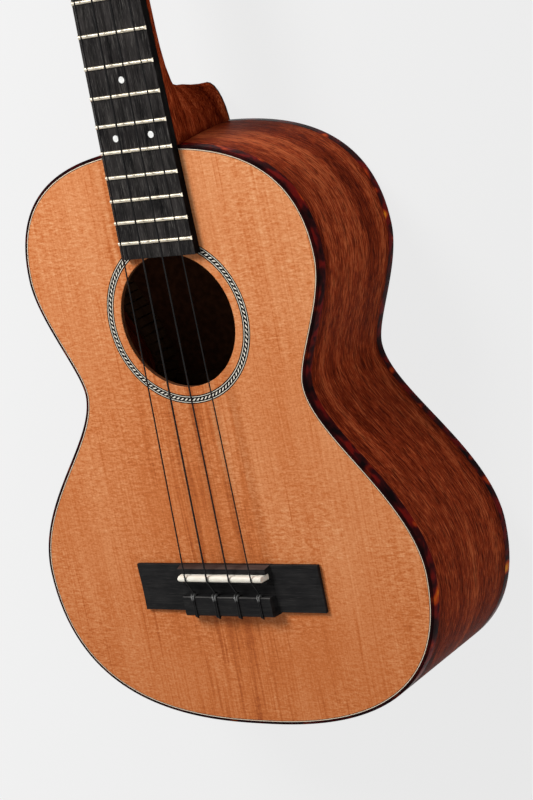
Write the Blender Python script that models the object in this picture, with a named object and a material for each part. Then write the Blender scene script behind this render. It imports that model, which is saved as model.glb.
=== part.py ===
"""Tenor ukulele, lying on its flat back: +Z out of the soundboard, +Y towards the headstock, metres.

The body is deeper at the tail than at the neck, so everything above the back is built in a frame of
its own, whose XY plane is the top of the soundboard and whose y = 0 is the line of the saddle. That
frame is an empty, tipped so that the back lies level on z = 0. The headstock has a second empty.
"""

import math

import bmesh
import bpy
from mathutils import Matrix, Vector
from mathutils.geometry import interpolate_bezier

# Scale and body, seen from the front
SCALE_LENGTH = 0.4318
JOIN_FRET = 12
FRET_COUNT = 16
TAIL_Y = -0.081
LOWER_BOUT = (0.1153, -0.0005)
WAIST = (0.0667, 0.0952)
UPPER_BOUT = (0.0868, 0.156)
TAIL_HANDLES = (0.031, 0.080)
LOWER_HANDLES = (0.039, 0.0248)
UPPER_HANDLES = (0.0127, 0.021)
SHOULDER_HANDLES = (0.050, 0.0423)
SEGMENT_STEPS = (9, 8, 7, 9)

# Body depth and shell
DEPTH_AT_SADDLE = 0.0795
DEPTH_TAPER = 0.0573
GAP = 0.0003
PLATE_THICKNESS = 0.0025
SIDE_THICKNESS = 0.0023
BINDING_WIDTH = 0.0012
TOP_BINDING_HEIGHT = 0.006
BACK_BINDING_HEIGHT = 0.005
PURFLING_WIDTH = 0.0006
PURFLING_DEPTH = 0.001
LINING_HEIGHT = 0.013
LINING_WIDTH = 0.0055
LINING_WEB = 0.0013
KERF = 0.0009
NECK_BLOCK = (0.056, 0.024)
TAIL_BLOCK = (0.070, 0.016)

# Sound hole and rosette
HOLE_Y = 0.1309
HOLE_RADIUS = 0.0335
ROSETTE_INNER = 0.0385
ROSETTE_OUTER = 0.0418

# Braces
BRACE_WIDTH = 0.006
BRACE_HEIGHT = 0.011
UPPER_BRACE_Y = 0.178
LOWER_BRACE_Y = 0.087
BACK_BRACE_Y = (0.084, 0.160)
BRIDGE_PLATE = (0.104, 0.030, 0.0018)

# Neck, fingerboard and nut
NUT_WIDTH = 0.035
FINGERBOARD_AT_JOIN = 0.0425
FINGERBOARD_END_Y = 0.16325
FINGERBOARD_TOP = 0.0046
NUT_LENGTH = 0.005
NUT_TOP = 0.0068
NECK_DEPTH = (0.0121, 0.0125)
NECK_ROUNDNESS = 2.0
HEEL_FOOT = -0.0627
HEEL_CAP_THICKNESS = 0.0006
HEEL_TIP_Y = 0.2363
HEEL_BEND = (0.2690, -0.0425, 0.0300)
FRET_WIDTH = 0.002
FRET_HEIGHT = 0.001
TANG_WIDTH = 0.0006

# Headstock, measured from the line behind the nut
HEAD_ANGLE = math.radians(10)
HEAD_LENGTH = 0.150
HEAD_THICKNESS = 0.012
HEAD_SHOULDER = 0.026
HEAD_CORNER = 0.018
HEAD_HALF_WIDTHS = (0.0175, 0.0285, 0.0325)
VENEER_THICKNESS = 0.0015

# Bridge and saddle
BRIDGE_HALF_LENGTH = 0.0548
BRIDGE_FRONT_Y = 0.0055
BRIDGE_REAR_Y = -0.0193
WING_TOP = 0.0025
CENTRE_HALF_LENGTH = 0.0275
END_LEAN = 0.15
CENTRE_TOP = 0.0068
TIE_BLOCK_FRONT_Y = -0.0100
TIE_BLOCK_REAR_Y = -0.0204
TIE_BLOCK_TOP = 0.0070
TIE_HOLE_Z = 0.0046
SADDLE_Y = 0.0002
SADDLE_THICKNESS = 0.0032
SADDLE_HALF_LENGTH = 0.0267
SADDLE_TOP = 0.0100
SADDLE_FOOT = 0.0035

# Strings, from the player's fourth to first
STRING_NAMES = ("g", "c", "e", "a")
STRING_DIAMETERS = (0.00075, 0.00095, 0.00085, 0.00070)
SADDLE_SPACING = 0.0133
NUT_SPACING = 0.0090
WINDING_TURNS = 2
POINTS_PER_TURN = 24

# Tuners: a single-start worm drives a gear on the foot of each string post
POST_X = 0.019
POST_UP_HEAD = (0.042, 0.100)
GEAR_TEETH = 14
GEAR_PITCH_RADIUS = 0.0045
GEAR_TIP_RADIUS = 0.0052
GEAR_ROOT_RADIUS = 0.0038
GEAR_THICKNESS = 0.0024
WORM_ROOT_RADIUS = 0.0016
WORM_TIP_RADIUS = 0.0025
WORM_OFFSET = 0.0071
WORM_TURNS = 2.8
WORM_PITCH = 2 * math.pi * GEAR_PITCH_RADIUS / GEAR_TEETH
SHAFT_RADIUS = 0.0012
POST_RADIUS = 0.0030
POST_WAIST = 0.0026
POST_HOLE_RADIUS = 0.0034
POST_TOP = 0.0150
PLATE_METAL = 0.0012
BUTTON_INNER = 0.0165


def fret_y(number):
    """Distance of a fret from the saddle line, by the rule of the twelfth root of two."""
    return SCALE_LENGTH * 2 ** (-number / 12)


JOIN_Y = fret_y(JOIN_FRET) + 0.0002
NUT_Y = SCALE_LENGTH
HEAD_Y = NUT_Y + NUT_LENGTH


# Frames, materials and small helpers

def clear_scene():
    for item in list(bpy.data.objects):
        bpy.data.objects.remove(item)


def make_frame(name, parent, location, tilt):
    frame = bpy.data.objects.new(name, None)
    bpy.context.scene.collection.objects.link(frame)
    frame.parent = parent
    frame.location = location
    frame.rotation_euler = (tilt, 0, 0)
    return frame


def finish(name, colour, roughness, metallic=0.0):
    material = bpy.data.materials.new(name)
    material.use_nodes = True
    shader = material.node_tree.nodes["Principled BSDF"]
    shader.inputs["Base Color"].default_value = (*colour, 1)
    shader.inputs["Roughness"].default_value = roughness
    shader.inputs["Metallic"].default_value = metallic
    return material


def add_object(name, mesh, material, parent, location=(0, 0, 0)):
    item = bpy.data.objects.new(name, mesh)
    bpy.context.scene.collection.objects.link(item)
    item.parent = parent
    item.location = location
    mesh.materials.append(material)
    return item


def mesh_from(bm, name, smooth=True):
    bmesh.ops.remove_doubles(bm, verts=bm.verts, dist=1e-7)
    bmesh.ops.recalc_face_normals(bm, faces=bm.faces)
    mesh = bpy.data.meshes.new(name)
    bm.to_mesh(mesh)
    bm.free()
    if smooth:
        mesh.shade_smooth()
        mesh.set_sharp_from_angle(angle=math.radians(35))
    return mesh


def hide_tool(item):
    item.hide_render = True
    item.display_type = "WIRE"


def combine(target, tool, operation):
    """Joins or cuts the target with the tool, which stays in the file as a hidden guide."""
    modifier = target.modifiers.new(operation.lower(), "BOOLEAN")
    modifier.operation = operation
    modifier.solver = "EXACT"
    modifier.object = tool
    hide_tool(tool)


def loft(name, sections, material, parent, ring=False, location=(0, 0, 0)):
    """Skins closed sections of equal count: capped at both ends, or closed round as a ring."""
    bm = bmesh.new()
    rows = [[bm.verts.new(point) for point in section] for section in sections]
    count = len(rows[0])
    pairs = list(zip(rows, rows[1:]))
    if ring:
        pairs.append((rows[-1], rows[0]))
    else:
        bm.faces.new(rows[0][::-1])
        bm.faces.new(rows[-1])
    for first, second in pairs:
        for i in range(count):
            j = (i + 1) % count
            bm.faces.new((first[i], first[j], second[j], second[i]))
    return add_object(name, mesh_from(bm, name), material, parent, location)


def extrude(name, profile, axis, low, high, material, parent, location=(0, 0, 0)):
    """Extrudes a closed profile, given in the plane of the other two axes, along X, Y or Z."""
    index = "XYZ".index(axis)

    def lift(point, level):
        place = list(point)
        place.insert(index, level)
        return place

    sections = [[lift(point, level) for point in profile] for level in (low, high)]
    return loft(name, sections, material, parent, location=location)


def lathe(name, profile, steps, material, parent, location=(0, 0, 0)):
    """Turns a profile of (radius, height) round Z. A profile off the axis is closed into a ring."""
    bm = bmesh.new()
    verts = [bm.verts.new((radius, 0, height)) for radius, height in profile]
    edges = [bm.edges.new(pair) for pair in zip(verts, verts[1:])]
    if profile[0][0] > 0:
        edges.append(bm.edges.new((verts[-1], verts[0])))
    bmesh.ops.spin(
        bm, geom=verts + edges, axis=(0, 0, 1), cent=(0, 0, 0), angle=2 * math.pi, steps=steps, use_merge=True
    )
    return add_object(name, mesh_from(bm, name), material, parent, location)


def cylinder(name, radius, low, high, steps, material, parent, location=(0, 0, 0)):
    return lathe(name, [(0, high), (radius, high), (radius, low), (0, low)], steps, material, parent, location)


def smooth_route(points, steps):
    """Points along a smooth curve through the given ones."""
    points = [Vector(point) for point in points]
    padded = [points[0], *points, points[-1]]
    route = []
    for before, start, end, after in zip(padded, padded[1:], padded[2:], padded[3:]):
        leave = start + (end - before) / 6
        arrive = end - (after - start) / 6
        route += interpolate_bezier(start, leave, arrive, end, steps + 1)[:-1]
    return [*route, points[-1]]


# The outline and what follows it

def half_outline():
    """The right half of the body's outer edge, from the tail to the neck, by four Bezier segments."""
    tail = Vector((0, TAIL_Y))
    lower = Vector(LOWER_BOUT)
    waist = Vector(WAIST)
    upper = Vector(UPPER_BOUT)
    top = Vector((0, JOIN_Y))
    across = Vector((1, 0))
    along = Vector((0, 1))
    segments = (
        (tail, tail + across * TAIL_HANDLES[0], lower - along * TAIL_HANDLES[1], lower),
        (lower, lower + along * LOWER_HANDLES[0], waist - along * LOWER_HANDLES[1], waist),
        (waist, waist + along * UPPER_HANDLES[0], upper - along * UPPER_HANDLES[1], upper),
        (upper, upper + along * SHOULDER_HANDLES[0], top + across * SHOULDER_HANDLES[1], top),
    )
    points = []
    for corners, steps in zip(segments, SEGMENT_STEPS):
        points += interpolate_bezier(*[corner.to_3d() for corner in corners], steps + 1)[:-1]
    return [point.to_2d() for point in points] + [top]


def inward_normals(points):
    normals = []
    for i, _ in enumerate(points):
        before = points[max(i - 1, 0)]
        after = points[min(i + 1, len(points) - 1)]
        step = (after - before).normalized()
        normals.append(Vector((-step.y, step.x)))
    normals[0] = Vector((0, 1))
    normals[-1] = Vector((0, -1))
    return normals


HALF = half_outline()
HALF_NORMALS = inward_normals(HALF)


def inset_half(distance):
    return [point + normal * distance for point, normal in zip(HALF, HALF_NORMALS)]


def inset_outline(distance):
    right = inset_half(distance)
    left = [Vector((-point.x, point.y)) for point in reversed(right[1:-1])]
    return right + left


def back_z(y, above=0.0):
    """Height of the back's outer face at y, plus a height above it."""
    return DEPTH_TAPER * y - DEPTH_AT_SADDLE + above


def top_level(height):
    return lambda y: height


def back_level(height):
    return lambda y: back_z(y, height)


def outline_ring(distance, level):
    return [(point.x, point.y, level(point.y)) for point in inset_outline(distance)]


def half_width_at(y, distance):
    """Half the body's width at y, inside the given inset."""
    points = inset_half(distance)
    crossing = [
        a.x + (b.x - a.x) * (y - a.y) / (b.y - a.y)
        for a, b in zip(points, points[1:])
        if (a.y - y) * (b.y - y) <= 0 and a.y != b.y
    ]
    return min(crossing)


EDGE_INSET = BINDING_WIDTH + GAP
PURFLING_INNER = EDGE_INSET + PURFLING_WIDTH
BOARD_INSET = PURFLING_INNER + GAP
LINING_OUTER = SIDE_THICKNESS + GAP
REBATE_FLOOR = -PURFLING_DEPTH - GAP


def build_soundboard(frame, wood):
    lip = top_level(-PLATE_THICKNESS)
    floor = top_level(REBATE_FLOOR)
    loops = [
        outline_ring(EDGE_INSET, lip),
        outline_ring(EDGE_INSET, floor),
        outline_ring(BOARD_INSET, floor),
        outline_ring(BOARD_INSET, top_level(0)),
    ]
    board = loft("soundboard", loops, wood, frame)
    hole = cylinder("sound_hole_cutter", HOLE_RADIUS, -0.01, 0.01, 48, wood, frame, (0, HOLE_Y, 0))
    channel_profile = [
        (ROSETTE_INNER - GAP, REBATE_FLOOR),
        (ROSETTE_INNER - GAP, 0.002),
        (ROSETTE_OUTER + GAP, 0.002),
        (ROSETTE_OUTER + GAP, REBATE_FLOOR),
    ]
    channel = lathe("rosette_channel_cutter", channel_profile, 48, wood, frame, (0, HOLE_Y, 0))
    combine(board, hole, "DIFFERENCE")
    combine(board, channel, "DIFFERENCE")


def build_back(frame, wood):
    loops = [outline_ring(EDGE_INSET, back_level(height)) for height in (0, PLATE_THICKNESS)]
    loft("back", loops, wood, frame)


def build_edge_rings(frame, binding, white):
    """Top and back bindings, each with its outer corner eased, and the white purfling line."""
    ease = 0.0006
    top_section = [
        (BINDING_WIDTH, 0),
        (ease, 0),
        (0, -ease),
        (0, -TOP_BINDING_HEIGHT),
        (BINDING_WIDTH, -TOP_BINDING_HEIGHT),
    ]
    loops = [outline_ring(inset, top_level(height)) for inset, height in top_section]
    loft("top_binding", loops, binding, frame, ring=True)
    back_section = [
        (BINDING_WIDTH, 0),
        (ease, 0),
        (0, ease),
        (0, BACK_BINDING_HEIGHT),
        (BINDING_WIDTH, BACK_BINDING_HEIGHT),
    ]
    loops = [outline_ring(inset, back_level(height)) for inset, height in back_section]
    loft("back_binding", loops, binding, frame, ring=True)
    line = [
        (EDGE_INSET, 0),
        (EDGE_INSET, -PURFLING_DEPTH),
        (PURFLING_INNER, -PURFLING_DEPTH),
        (PURFLING_INNER, 0),
    ]
    loops = [outline_ring(inset, top_level(height)) for inset, height in line]
    loft("purfling", loops, white, frame, ring=True)


def build_rosette(frame, white):
    section = [
        (ROSETTE_INNER, -PURFLING_DEPTH),
        (ROSETTE_INNER, 0),
        (ROSETTE_OUTER, 0),
        (ROSETTE_OUTER, -PURFLING_DEPTH),
    ]
    lathe("rosette", section, 48, white, frame, (0, HOLE_Y, 0))


def edge_strip(name, side, stations, section_at, wood, frame):
    """A strip that follows half the outline: one section of (inset, level) pairs at each station."""
    sections = []
    for station, (point, normal) in enumerate(stations):
        ring = []
        for inset, level in section_at(station):
            place = point + normal * inset
            ring.append((side * max(place.x, GAP / 2), place.y, level(place.y)))
        sections.append(ring)
    loft(name, sections, wood, frame)


def build_side(frame, name, side, wood):
    under_top = -PLATE_THICKNESS - GAP
    over_back = PLATE_THICKNESS + GAP
    section = [
        (EDGE_INSET, top_level(under_top)),
        (EDGE_INSET, top_level(-TOP_BINDING_HEIGHT - GAP)),
        (0, top_level(-TOP_BINDING_HEIGHT - GAP)),
        (0, back_level(BACK_BINDING_HEIGHT + GAP)),
        (EDGE_INSET, back_level(BACK_BINDING_HEIGHT + GAP)),
        (EDGE_INSET, back_level(over_back)),
        (SIDE_THICKNESS, back_level(over_back)),
        (SIDE_THICKNESS, top_level(under_top)),
    ]
    stations = list(zip(HALF, HALF_NORMALS))
    edge_strip(name, side, stations, lambda station: section, wood, frame)


def lining_stations():
    """Stations of a kerfed strip between the blocks: three at each kerf, wide, narrow and wide."""
    stations = []
    for i, point in enumerate(HALF[1:-1], start=1):
        block = TAIL_BLOCK if point.y < 0 else NECK_BLOCK
        if point.x < block[0] / 2 + 0.004:
            continue
        before = (HALF[i - 1] - point).normalized()
        after = (HALF[i + 1] - point).normalized()
        normal = HALF_NORMALS[i]
        stations.append((point + before * KERF, normal, True))
        stations.append((point, normal, False))
        stations.append((point + after * KERF, normal, True))
    return stations[1:-1]


def build_lining(frame, name, side, foot, tip, wood):
    stations = lining_stations()
    stations[0] = (*stations[0][:2], True)
    stations[-1] = (*stations[-1][:2], True)

    def section_at(station):
        wide = LINING_WIDTH if stations[station][2] else LINING_WEB
        return [
            (LINING_OUTER, foot),
            (LINING_OUTER, tip),
            (LINING_OUTER + LINING_WEB, tip),
            (LINING_OUTER + wide, foot),
        ]

    places = [(point, normal) for point, normal, _ in stations]
    edge_strip(name, side, places, section_at, wood, frame)


def build_linings(frame, wood):
    under_top = -PLATE_THICKNESS - GAP
    over_back = PLATE_THICKNESS + GAP
    for name, side in (("left", -1), ("right", 1)):
        top = (top_level(under_top), top_level(under_top - LINING_HEIGHT))
        build_lining(frame, f"lining_top_{name}", side, *top, wood)
        back = (back_level(over_back), back_level(over_back + LINING_HEIGHT))
        build_lining(frame, f"lining_back_{name}", side, *back, wood)


def build_block(frame, name, size, inside, wood):
    """A block glued inside one end, whose outer face follows the rim. inside is +1 at the tail."""
    width, depth = size
    rim = inset_half(LINING_OUTER)
    if inside < 0:
        rim = rim[::-1]
    edge = [point for point in rim[:12] if point.x < width / 2]
    last, beyond = edge[-1], rim[len(edge)]
    edge.append(last.lerp(beyond, (width / 2 - last.x) / (beyond.x - last.x)))
    inner = edge[0].y + inside * depth
    plan = [(-point.x, point.y) for point in reversed(edge[1:])]
    plan += [(point.x, point.y) for point in edge]
    plan += [(width / 2, inner), (-width / 2, inner)]
    levels = (back_level(PLATE_THICKNESS + GAP), top_level(-PLATE_THICKNESS - GAP))
    sections = [[(x, y, level(y)) for x, y in plan] for level in levels]
    loft(name, sections, wood, frame)


# Braces

def brace_profile(half_length, foot, tip, scallop=0.024):
    """Side view of a brace: full height in the middle, swept down to thin ends."""
    end = foot + (tip - foot) * 0.3
    return [
        (-half_length, foot),
        (half_length, foot),
        (half_length, end),
        (half_length - scallop, tip),
        (-half_length + scallop, tip),
        (-half_length, end),
    ]


def build_braces(frame, wood):
    under_top = -PLATE_THICKNESS - GAP
    clear = LINING_OUTER + LINING_WIDTH + GAP
    for name, y in (("soundboard_brace_upper", UPPER_BRACE_Y), ("soundboard_brace_lower", LOWER_BRACE_Y)):
        reach = half_width_at(y + BRACE_WIDTH / 2, clear)
        reach = min(reach, half_width_at(y - BRACE_WIDTH / 2, clear))
        profile = brace_profile(reach, under_top, under_top - BRACE_HEIGHT)
        extrude(name, profile, "Y", -BRACE_WIDTH / 2, BRACE_WIDTH / 2, wood, frame, (0, y, 0))
    for name, y in zip(("back_brace_lower", "back_brace_upper"), BACK_BRACE_Y):
        reach = half_width_at(y + BRACE_WIDTH / 2, clear)
        reach = min(reach, half_width_at(y - BRACE_WIDTH / 2, clear))
        profile = brace_profile(reach, PLATE_THICKNESS + GAP, PLATE_THICKNESS + GAP + BRACE_HEIGHT)
        ends = [(y - BRACE_WIDTH / 2), (y + BRACE_WIDTH / 2)]
        sections = [[(x, end, back_z(end, height)) for x, height in profile] for end in ends]
        loft(name, sections, wood, frame)


def build_bridge_plate_and_fans(frame, wood):
    """The hardwood plate under the bridge, and two light bars that are notched to pass over it."""
    under_top = -PLATE_THICKNESS - GAP
    width, length, thickness = BRIDGE_PLATE
    middle = (BRIDGE_FRONT_Y + BRIDGE_REAR_Y) / 2
    plan = [(-width / 2, -length / 2), (width / 2, -length / 2), (width / 2, length / 2), (-width / 2, length / 2)]
    levels = (under_top - thickness, under_top)
    extrude("bridge_plate", plan, "Z", *levels, wood, frame, (0, middle, 0))
    notch_plan = [(x * 1.05, y * 1.05) for x, y in plan]
    notch_levels = (under_top - thickness - GAP, under_top + 0.002)
    notch = extrude("fan_notch_cutter", notch_plan, "Z", *notch_levels, wood, frame, (0, middle, 0))
    for name, side in (("fan_brace_left", -1), ("fan_brace_right", 1)):
        profile = brace_profile(0.064, under_top, under_top - 0.008, 0.03)
        bar = extrude(name, profile, "Y", -0.0025, 0.0025, wood, frame, (side * 0.034, 0.010, 0))
        bar.rotation_euler = (0, 0, math.radians(90 + side * 8))
        combine(bar, notch, "DIFFERENCE")


# Neck

def neck_half_width(y):
    """Half the fingerboard's width at y: a straight taper through the nut and the join."""
    taper = (NUT_WIDTH - FINGERBOARD_AT_JOIN) / (NUT_Y - fret_y(JOIN_FRET))
    return (NUT_WIDTH + taper * (y - NUT_Y)) / 2


def head_half_width(up):
    start, shoulder, crown = HEAD_HALF_WIDTHS
    if up < HEAD_SHOULDER:
        t = up / HEAD_SHOULDER
        return start + (shoulder - start) * t * t * (3 - 2 * t)
    t = (up - HEAD_SHOULDER) / (HEAD_LENGTH - HEAD_CORNER - HEAD_SHOULDER)
    width = shoulder + (crown - shoulder) * min(t, 1)
    over = up - (HEAD_LENGTH - HEAD_CORNER)
    if over > 0:
        width -= 0.016 * (1 - math.sqrt(max(0, 1 - (over / HEAD_CORNER) ** 2)))
    return width


def heel_half_width(z):
    """Half the heel's width where it meets the body: wide at the top, slim at the foot."""
    t = min(1, -z / 0.055)
    flare = max(0, -z - 0.055) * 0.06
    return 0.009 + 0.0122 * (1 - t) ** 1.1 + flare


def back_curve(origin, down, half_width, depth, power, count=14):
    """One section: a flat side through the origin, and a rounded back of the given depth."""
    ring = []
    for i in range(count + 1):
        angle = math.pi * i / count
        across = abs(math.cos(angle)) ** (2 / power) * (1 if angle < math.pi / 2 else -1)
        deep = math.sin(angle) ** (2 / power) if 0 < i < count else 0
        ring.append(origin + Vector((half_width * across, 0, 0)) + down * (depth * deep))
    return ring


def heel_sections():
    """From the heel's foot up to the bend: level sections, turning to upright ones round the bend."""
    face_y = JOIN_Y - 0.003
    bend_y, bend_z, bend_radius = HEEL_BEND
    sections = []
    for z in (HEEL_FOOT, -0.0565, -0.0495):
        rise = (z - HEEL_FOOT) / (bend_z - HEEL_FOOT)
        tip = HEEL_TIP_Y + (bend_y - bend_radius - HEEL_TIP_Y) * rise * (0.2 + 0.8 * rise)
        origin = Vector((0, face_y, z))
        sections.append(back_curve(origin, Vector((0, 1, 0)), heel_half_width(z), tip - face_y, NECK_ROUNDNESS))
    bend = Vector((0, bend_y, bend_z))
    corner_angle = math.degrees(math.atan2(bend_y - face_y, -bend_z))
    for degrees in (90, 78, 65, corner_angle, 38, 25, 12, 0):
        angle = math.radians(degrees)
        ray = Vector((0, -math.sin(angle), math.cos(angle)))
        if degrees > corner_angle:
            reach = (bend_y - face_y) / math.sin(angle)
        else:
            reach = -bend_z / math.cos(angle)
        origin = bend + ray * reach
        width = heel_half_width(origin.z) if degrees > corner_angle else neck_half_width(origin.y)
        sections.append(back_curve(origin, -ray, width, reach - bend_radius, NECK_ROUNDNESS))
    return sections


def shaft_sections():
    bend_y = HEEL_BEND[0]
    sections = []
    for y in (0.275, 0.33, 0.39, 0.425, NUT_Y, HEAD_Y):
        t = (y - bend_y) / (NUT_Y - bend_y)
        depth = NECK_DEPTH[1] + (NECK_DEPTH[0] - NECK_DEPTH[1]) * t
        sections.append(back_curve(Vector((0, y, 0)), Vector((0, 0, -1)), neck_half_width(y), depth, NECK_ROUNDNESS))
    return sections


def head_point(x, up, height):
    """A point of the headstock's frame, in the body's frame."""
    tilt = Matrix.Rotation(-HEAD_ANGLE, 3, "X")
    return Vector((0, HEAD_Y, 0)) + tilt @ Vector((x, up, height))


def head_sections():
    sections = []
    down = head_point(0, 0, -1) - head_point(0, 0, 0)
    corner_start = HEAD_LENGTH - HEAD_CORNER
    stations = [0.004, 0.009, 0.014, 0.019, HEAD_SHOULDER, 0.05, 0.09, corner_start]
    stations += [corner_start + HEAD_CORNER * math.sin(math.radians(a)) for a in (22, 42, 60, 75, 90)]
    for up in stations:
        t = min(1, up / HEAD_SHOULDER)
        depth = NECK_DEPTH[0] + (HEAD_THICKNESS - NECK_DEPTH[0]) * t
        power = NECK_ROUNDNESS * (9 / NECK_ROUNDNESS) ** t
        sections.append(back_curve(head_point(0, up, 0), down, head_half_width(up), depth, power))
    return sections


def build_neck(frame, head, wood):
    neck = loft("neck", heel_sections() + shaft_sections() + head_sections(), wood, frame)
    body_loops = [outline_ring(-GAP, top_level(height)) for height in (-0.09, 0.01)]
    body = loft("neck_joint_cutter", body_loops, wood, frame)
    combine(neck, body, "DIFFERENCE")
    for name, x, up, _ in tuner_places():
        drill = cylinder(f"post_drill_{name}", POST_HOLE_RADIUS, -0.03, 0.02, 20, wood, head, (x, up, 0))
        combine(neck, drill, "DIFFERENCE")


def build_heel_cap(frame, black):
    face_y = JOIN_Y - 0.003
    top = HEEL_FOOT - GAP
    width = heel_half_width(HEEL_FOOT)
    sections = [
        back_curve(Vector((0, face_y, z)), Vector((0, 1, 0)), width, HEEL_TIP_Y - face_y, NECK_ROUNDNESS)
        for z in (top - HEEL_CAP_THICKNESS, top)
    ]
    cap = loft("heel_cap", sections, black, frame)
    body_loops = [outline_ring(-GAP, top_level(height)) for height in (-0.09, 0.01)]
    body = loft("heel_cap_cutter", body_loops, black, frame)
    combine(cap, body, "DIFFERENCE")


def build_head_veneer(head, black):
    """The facing of the headstock, with the four string-post ferrules seated in it."""
    ups = [0.0006, 0.009, 0.014, 0.019, HEAD_SHOULDER, 0.09, HEAD_LENGTH - HEAD_CORNER]
    ups += [HEAD_LENGTH - HEAD_CORNER * (1 - math.sin(math.radians(a))) for a in (22, 42, 60, 75, 90)]
    right = [(head_half_width(up) - 0.0001, up) for up in ups]
    plan = right + [(-x, up) for x, up in reversed(right)]
    veneer = extrude("head_veneer", plan, "Z", GAP, GAP + VENEER_THICKNESS, black, head)
    face = GAP + VENEER_THICKNESS
    for name, x, up, _ in tuner_places():
        profile = [
            (0, face + 0.0012),
            (POST_HOLE_RADIUS + 0.0008, face + 0.0012),
            (POST_HOLE_RADIUS + 0.0022, face + 0.0006),
            (POST_HOLE_RADIUS + 0.0022, face - 0.0010),
            (0, face - 0.0010),
        ]
        ferrule = lathe(f"ferrule_{name}", profile, 16, black, head, (x, up, 0))
        drill = cylinder(f"veneer_drill_{name}", POST_HOLE_RADIUS, -0.01, 0.01, 16, black, head, (x, up, 0))
        combine(veneer, ferrule, "UNION")
        combine(veneer, drill, "DIFFERENCE")


def build_fingerboard(frame, black):
    ends = (FINGERBOARD_END_Y, NUT_Y - GAP)
    sections = []
    for y in ends:
        half = neck_half_width(y)
        sections.append([(-half, y, GAP), (half, y, GAP), (half, y, FINGERBOARD_TOP), (-half, y, FINGERBOARD_TOP)])
    board = loft("fingerboard", sections, black, frame)
    slots = bmesh.new()
    for number in range(1, FRET_COUNT + 1):
        place = Matrix.Translation((0, fret_y(number), FINGERBOARD_TOP))
        size = Matrix.Diagonal((0.06, TANG_WIDTH + 2 * GAP, 0.0038, 1))
        bmesh.ops.create_cube(slots, size=1, matrix=place @ size)
    cutter = add_object("fret_slot_cutter", mesh_from(slots, "fret_slots"), black, frame)
    combine(board, cutter, "DIFFERENCE")


def build_frets(frame, metal):
    """Each fret is a domed crown on a tang that stands in its slot; the crown's ends are bevelled."""
    half = FRET_WIDTH / 2
    tang = TANG_WIDTH / 2
    section = [
        (-tang, -0.0015),
        (tang, -0.0015),
        (tang, 0.0002),
        (half, 0.0002),
        (half, 0.0004),
        (half * 0.6, FRET_HEIGHT * 0.86),
        (0, FRET_HEIGHT),
        (-half * 0.6, FRET_HEIGHT * 0.86),
        (-half, 0.0004),
        (-half, 0.0002),
        (-tang, 0.0002),
    ]
    for number in range(1, FRET_COUNT + 1):
        y = fret_y(number)
        reach = neck_half_width(y) - 0.0002
        sections = []
        for side in (-1, 1):
            sections.append([(side * (reach - max(z, 0) * 0.7), across, z) for across, z in section])
        loft(f"fret_{number:02d}", sections, metal, frame, location=(0, y, FINGERBOARD_TOP))


def nut_string_height(radius):
    return 0.0060 + radius


def build_nut(frame, bone):
    profile = [
        (GAP, GAP),
        (NUT_LENGTH - 0.0002, GAP),
        (NUT_LENGTH - 0.0002, NUT_TOP - 0.0022),
        (NUT_LENGTH * 0.55, NUT_TOP - 0.0004),
        (GAP + 0.0004, NUT_TOP),
        (GAP, NUT_TOP - 0.0003),
    ]
    half = NUT_WIDTH / 2
    nut = extrude("nut", profile, "X", -half, half, bone, frame, (0, NUT_Y, 0))
    slots = bmesh.new()
    for index, diameter in enumerate(STRING_DIAMETERS):
        floor = nut_string_height(diameter / 2) - diameter / 2 - GAP
        place = Matrix.Translation(((index - 1.5) * NUT_SPACING, NUT_LENGTH / 2, floor + 0.002))
        tip = Matrix.Rotation(math.radians(-7), 4, "X")
        size = Matrix.Diagonal((diameter + 2 * GAP, 0.02, 0.004, 1))
        bmesh.ops.create_cube(slots, size=1, matrix=place @ tip @ size)
    cutter = add_object("nut_slot_cutter", mesh_from(slots, "nut_slots"), bone, frame, (0, NUT_Y, 0))
    combine(nut, cutter, "DIFFERENCE")


# Bridge

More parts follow.
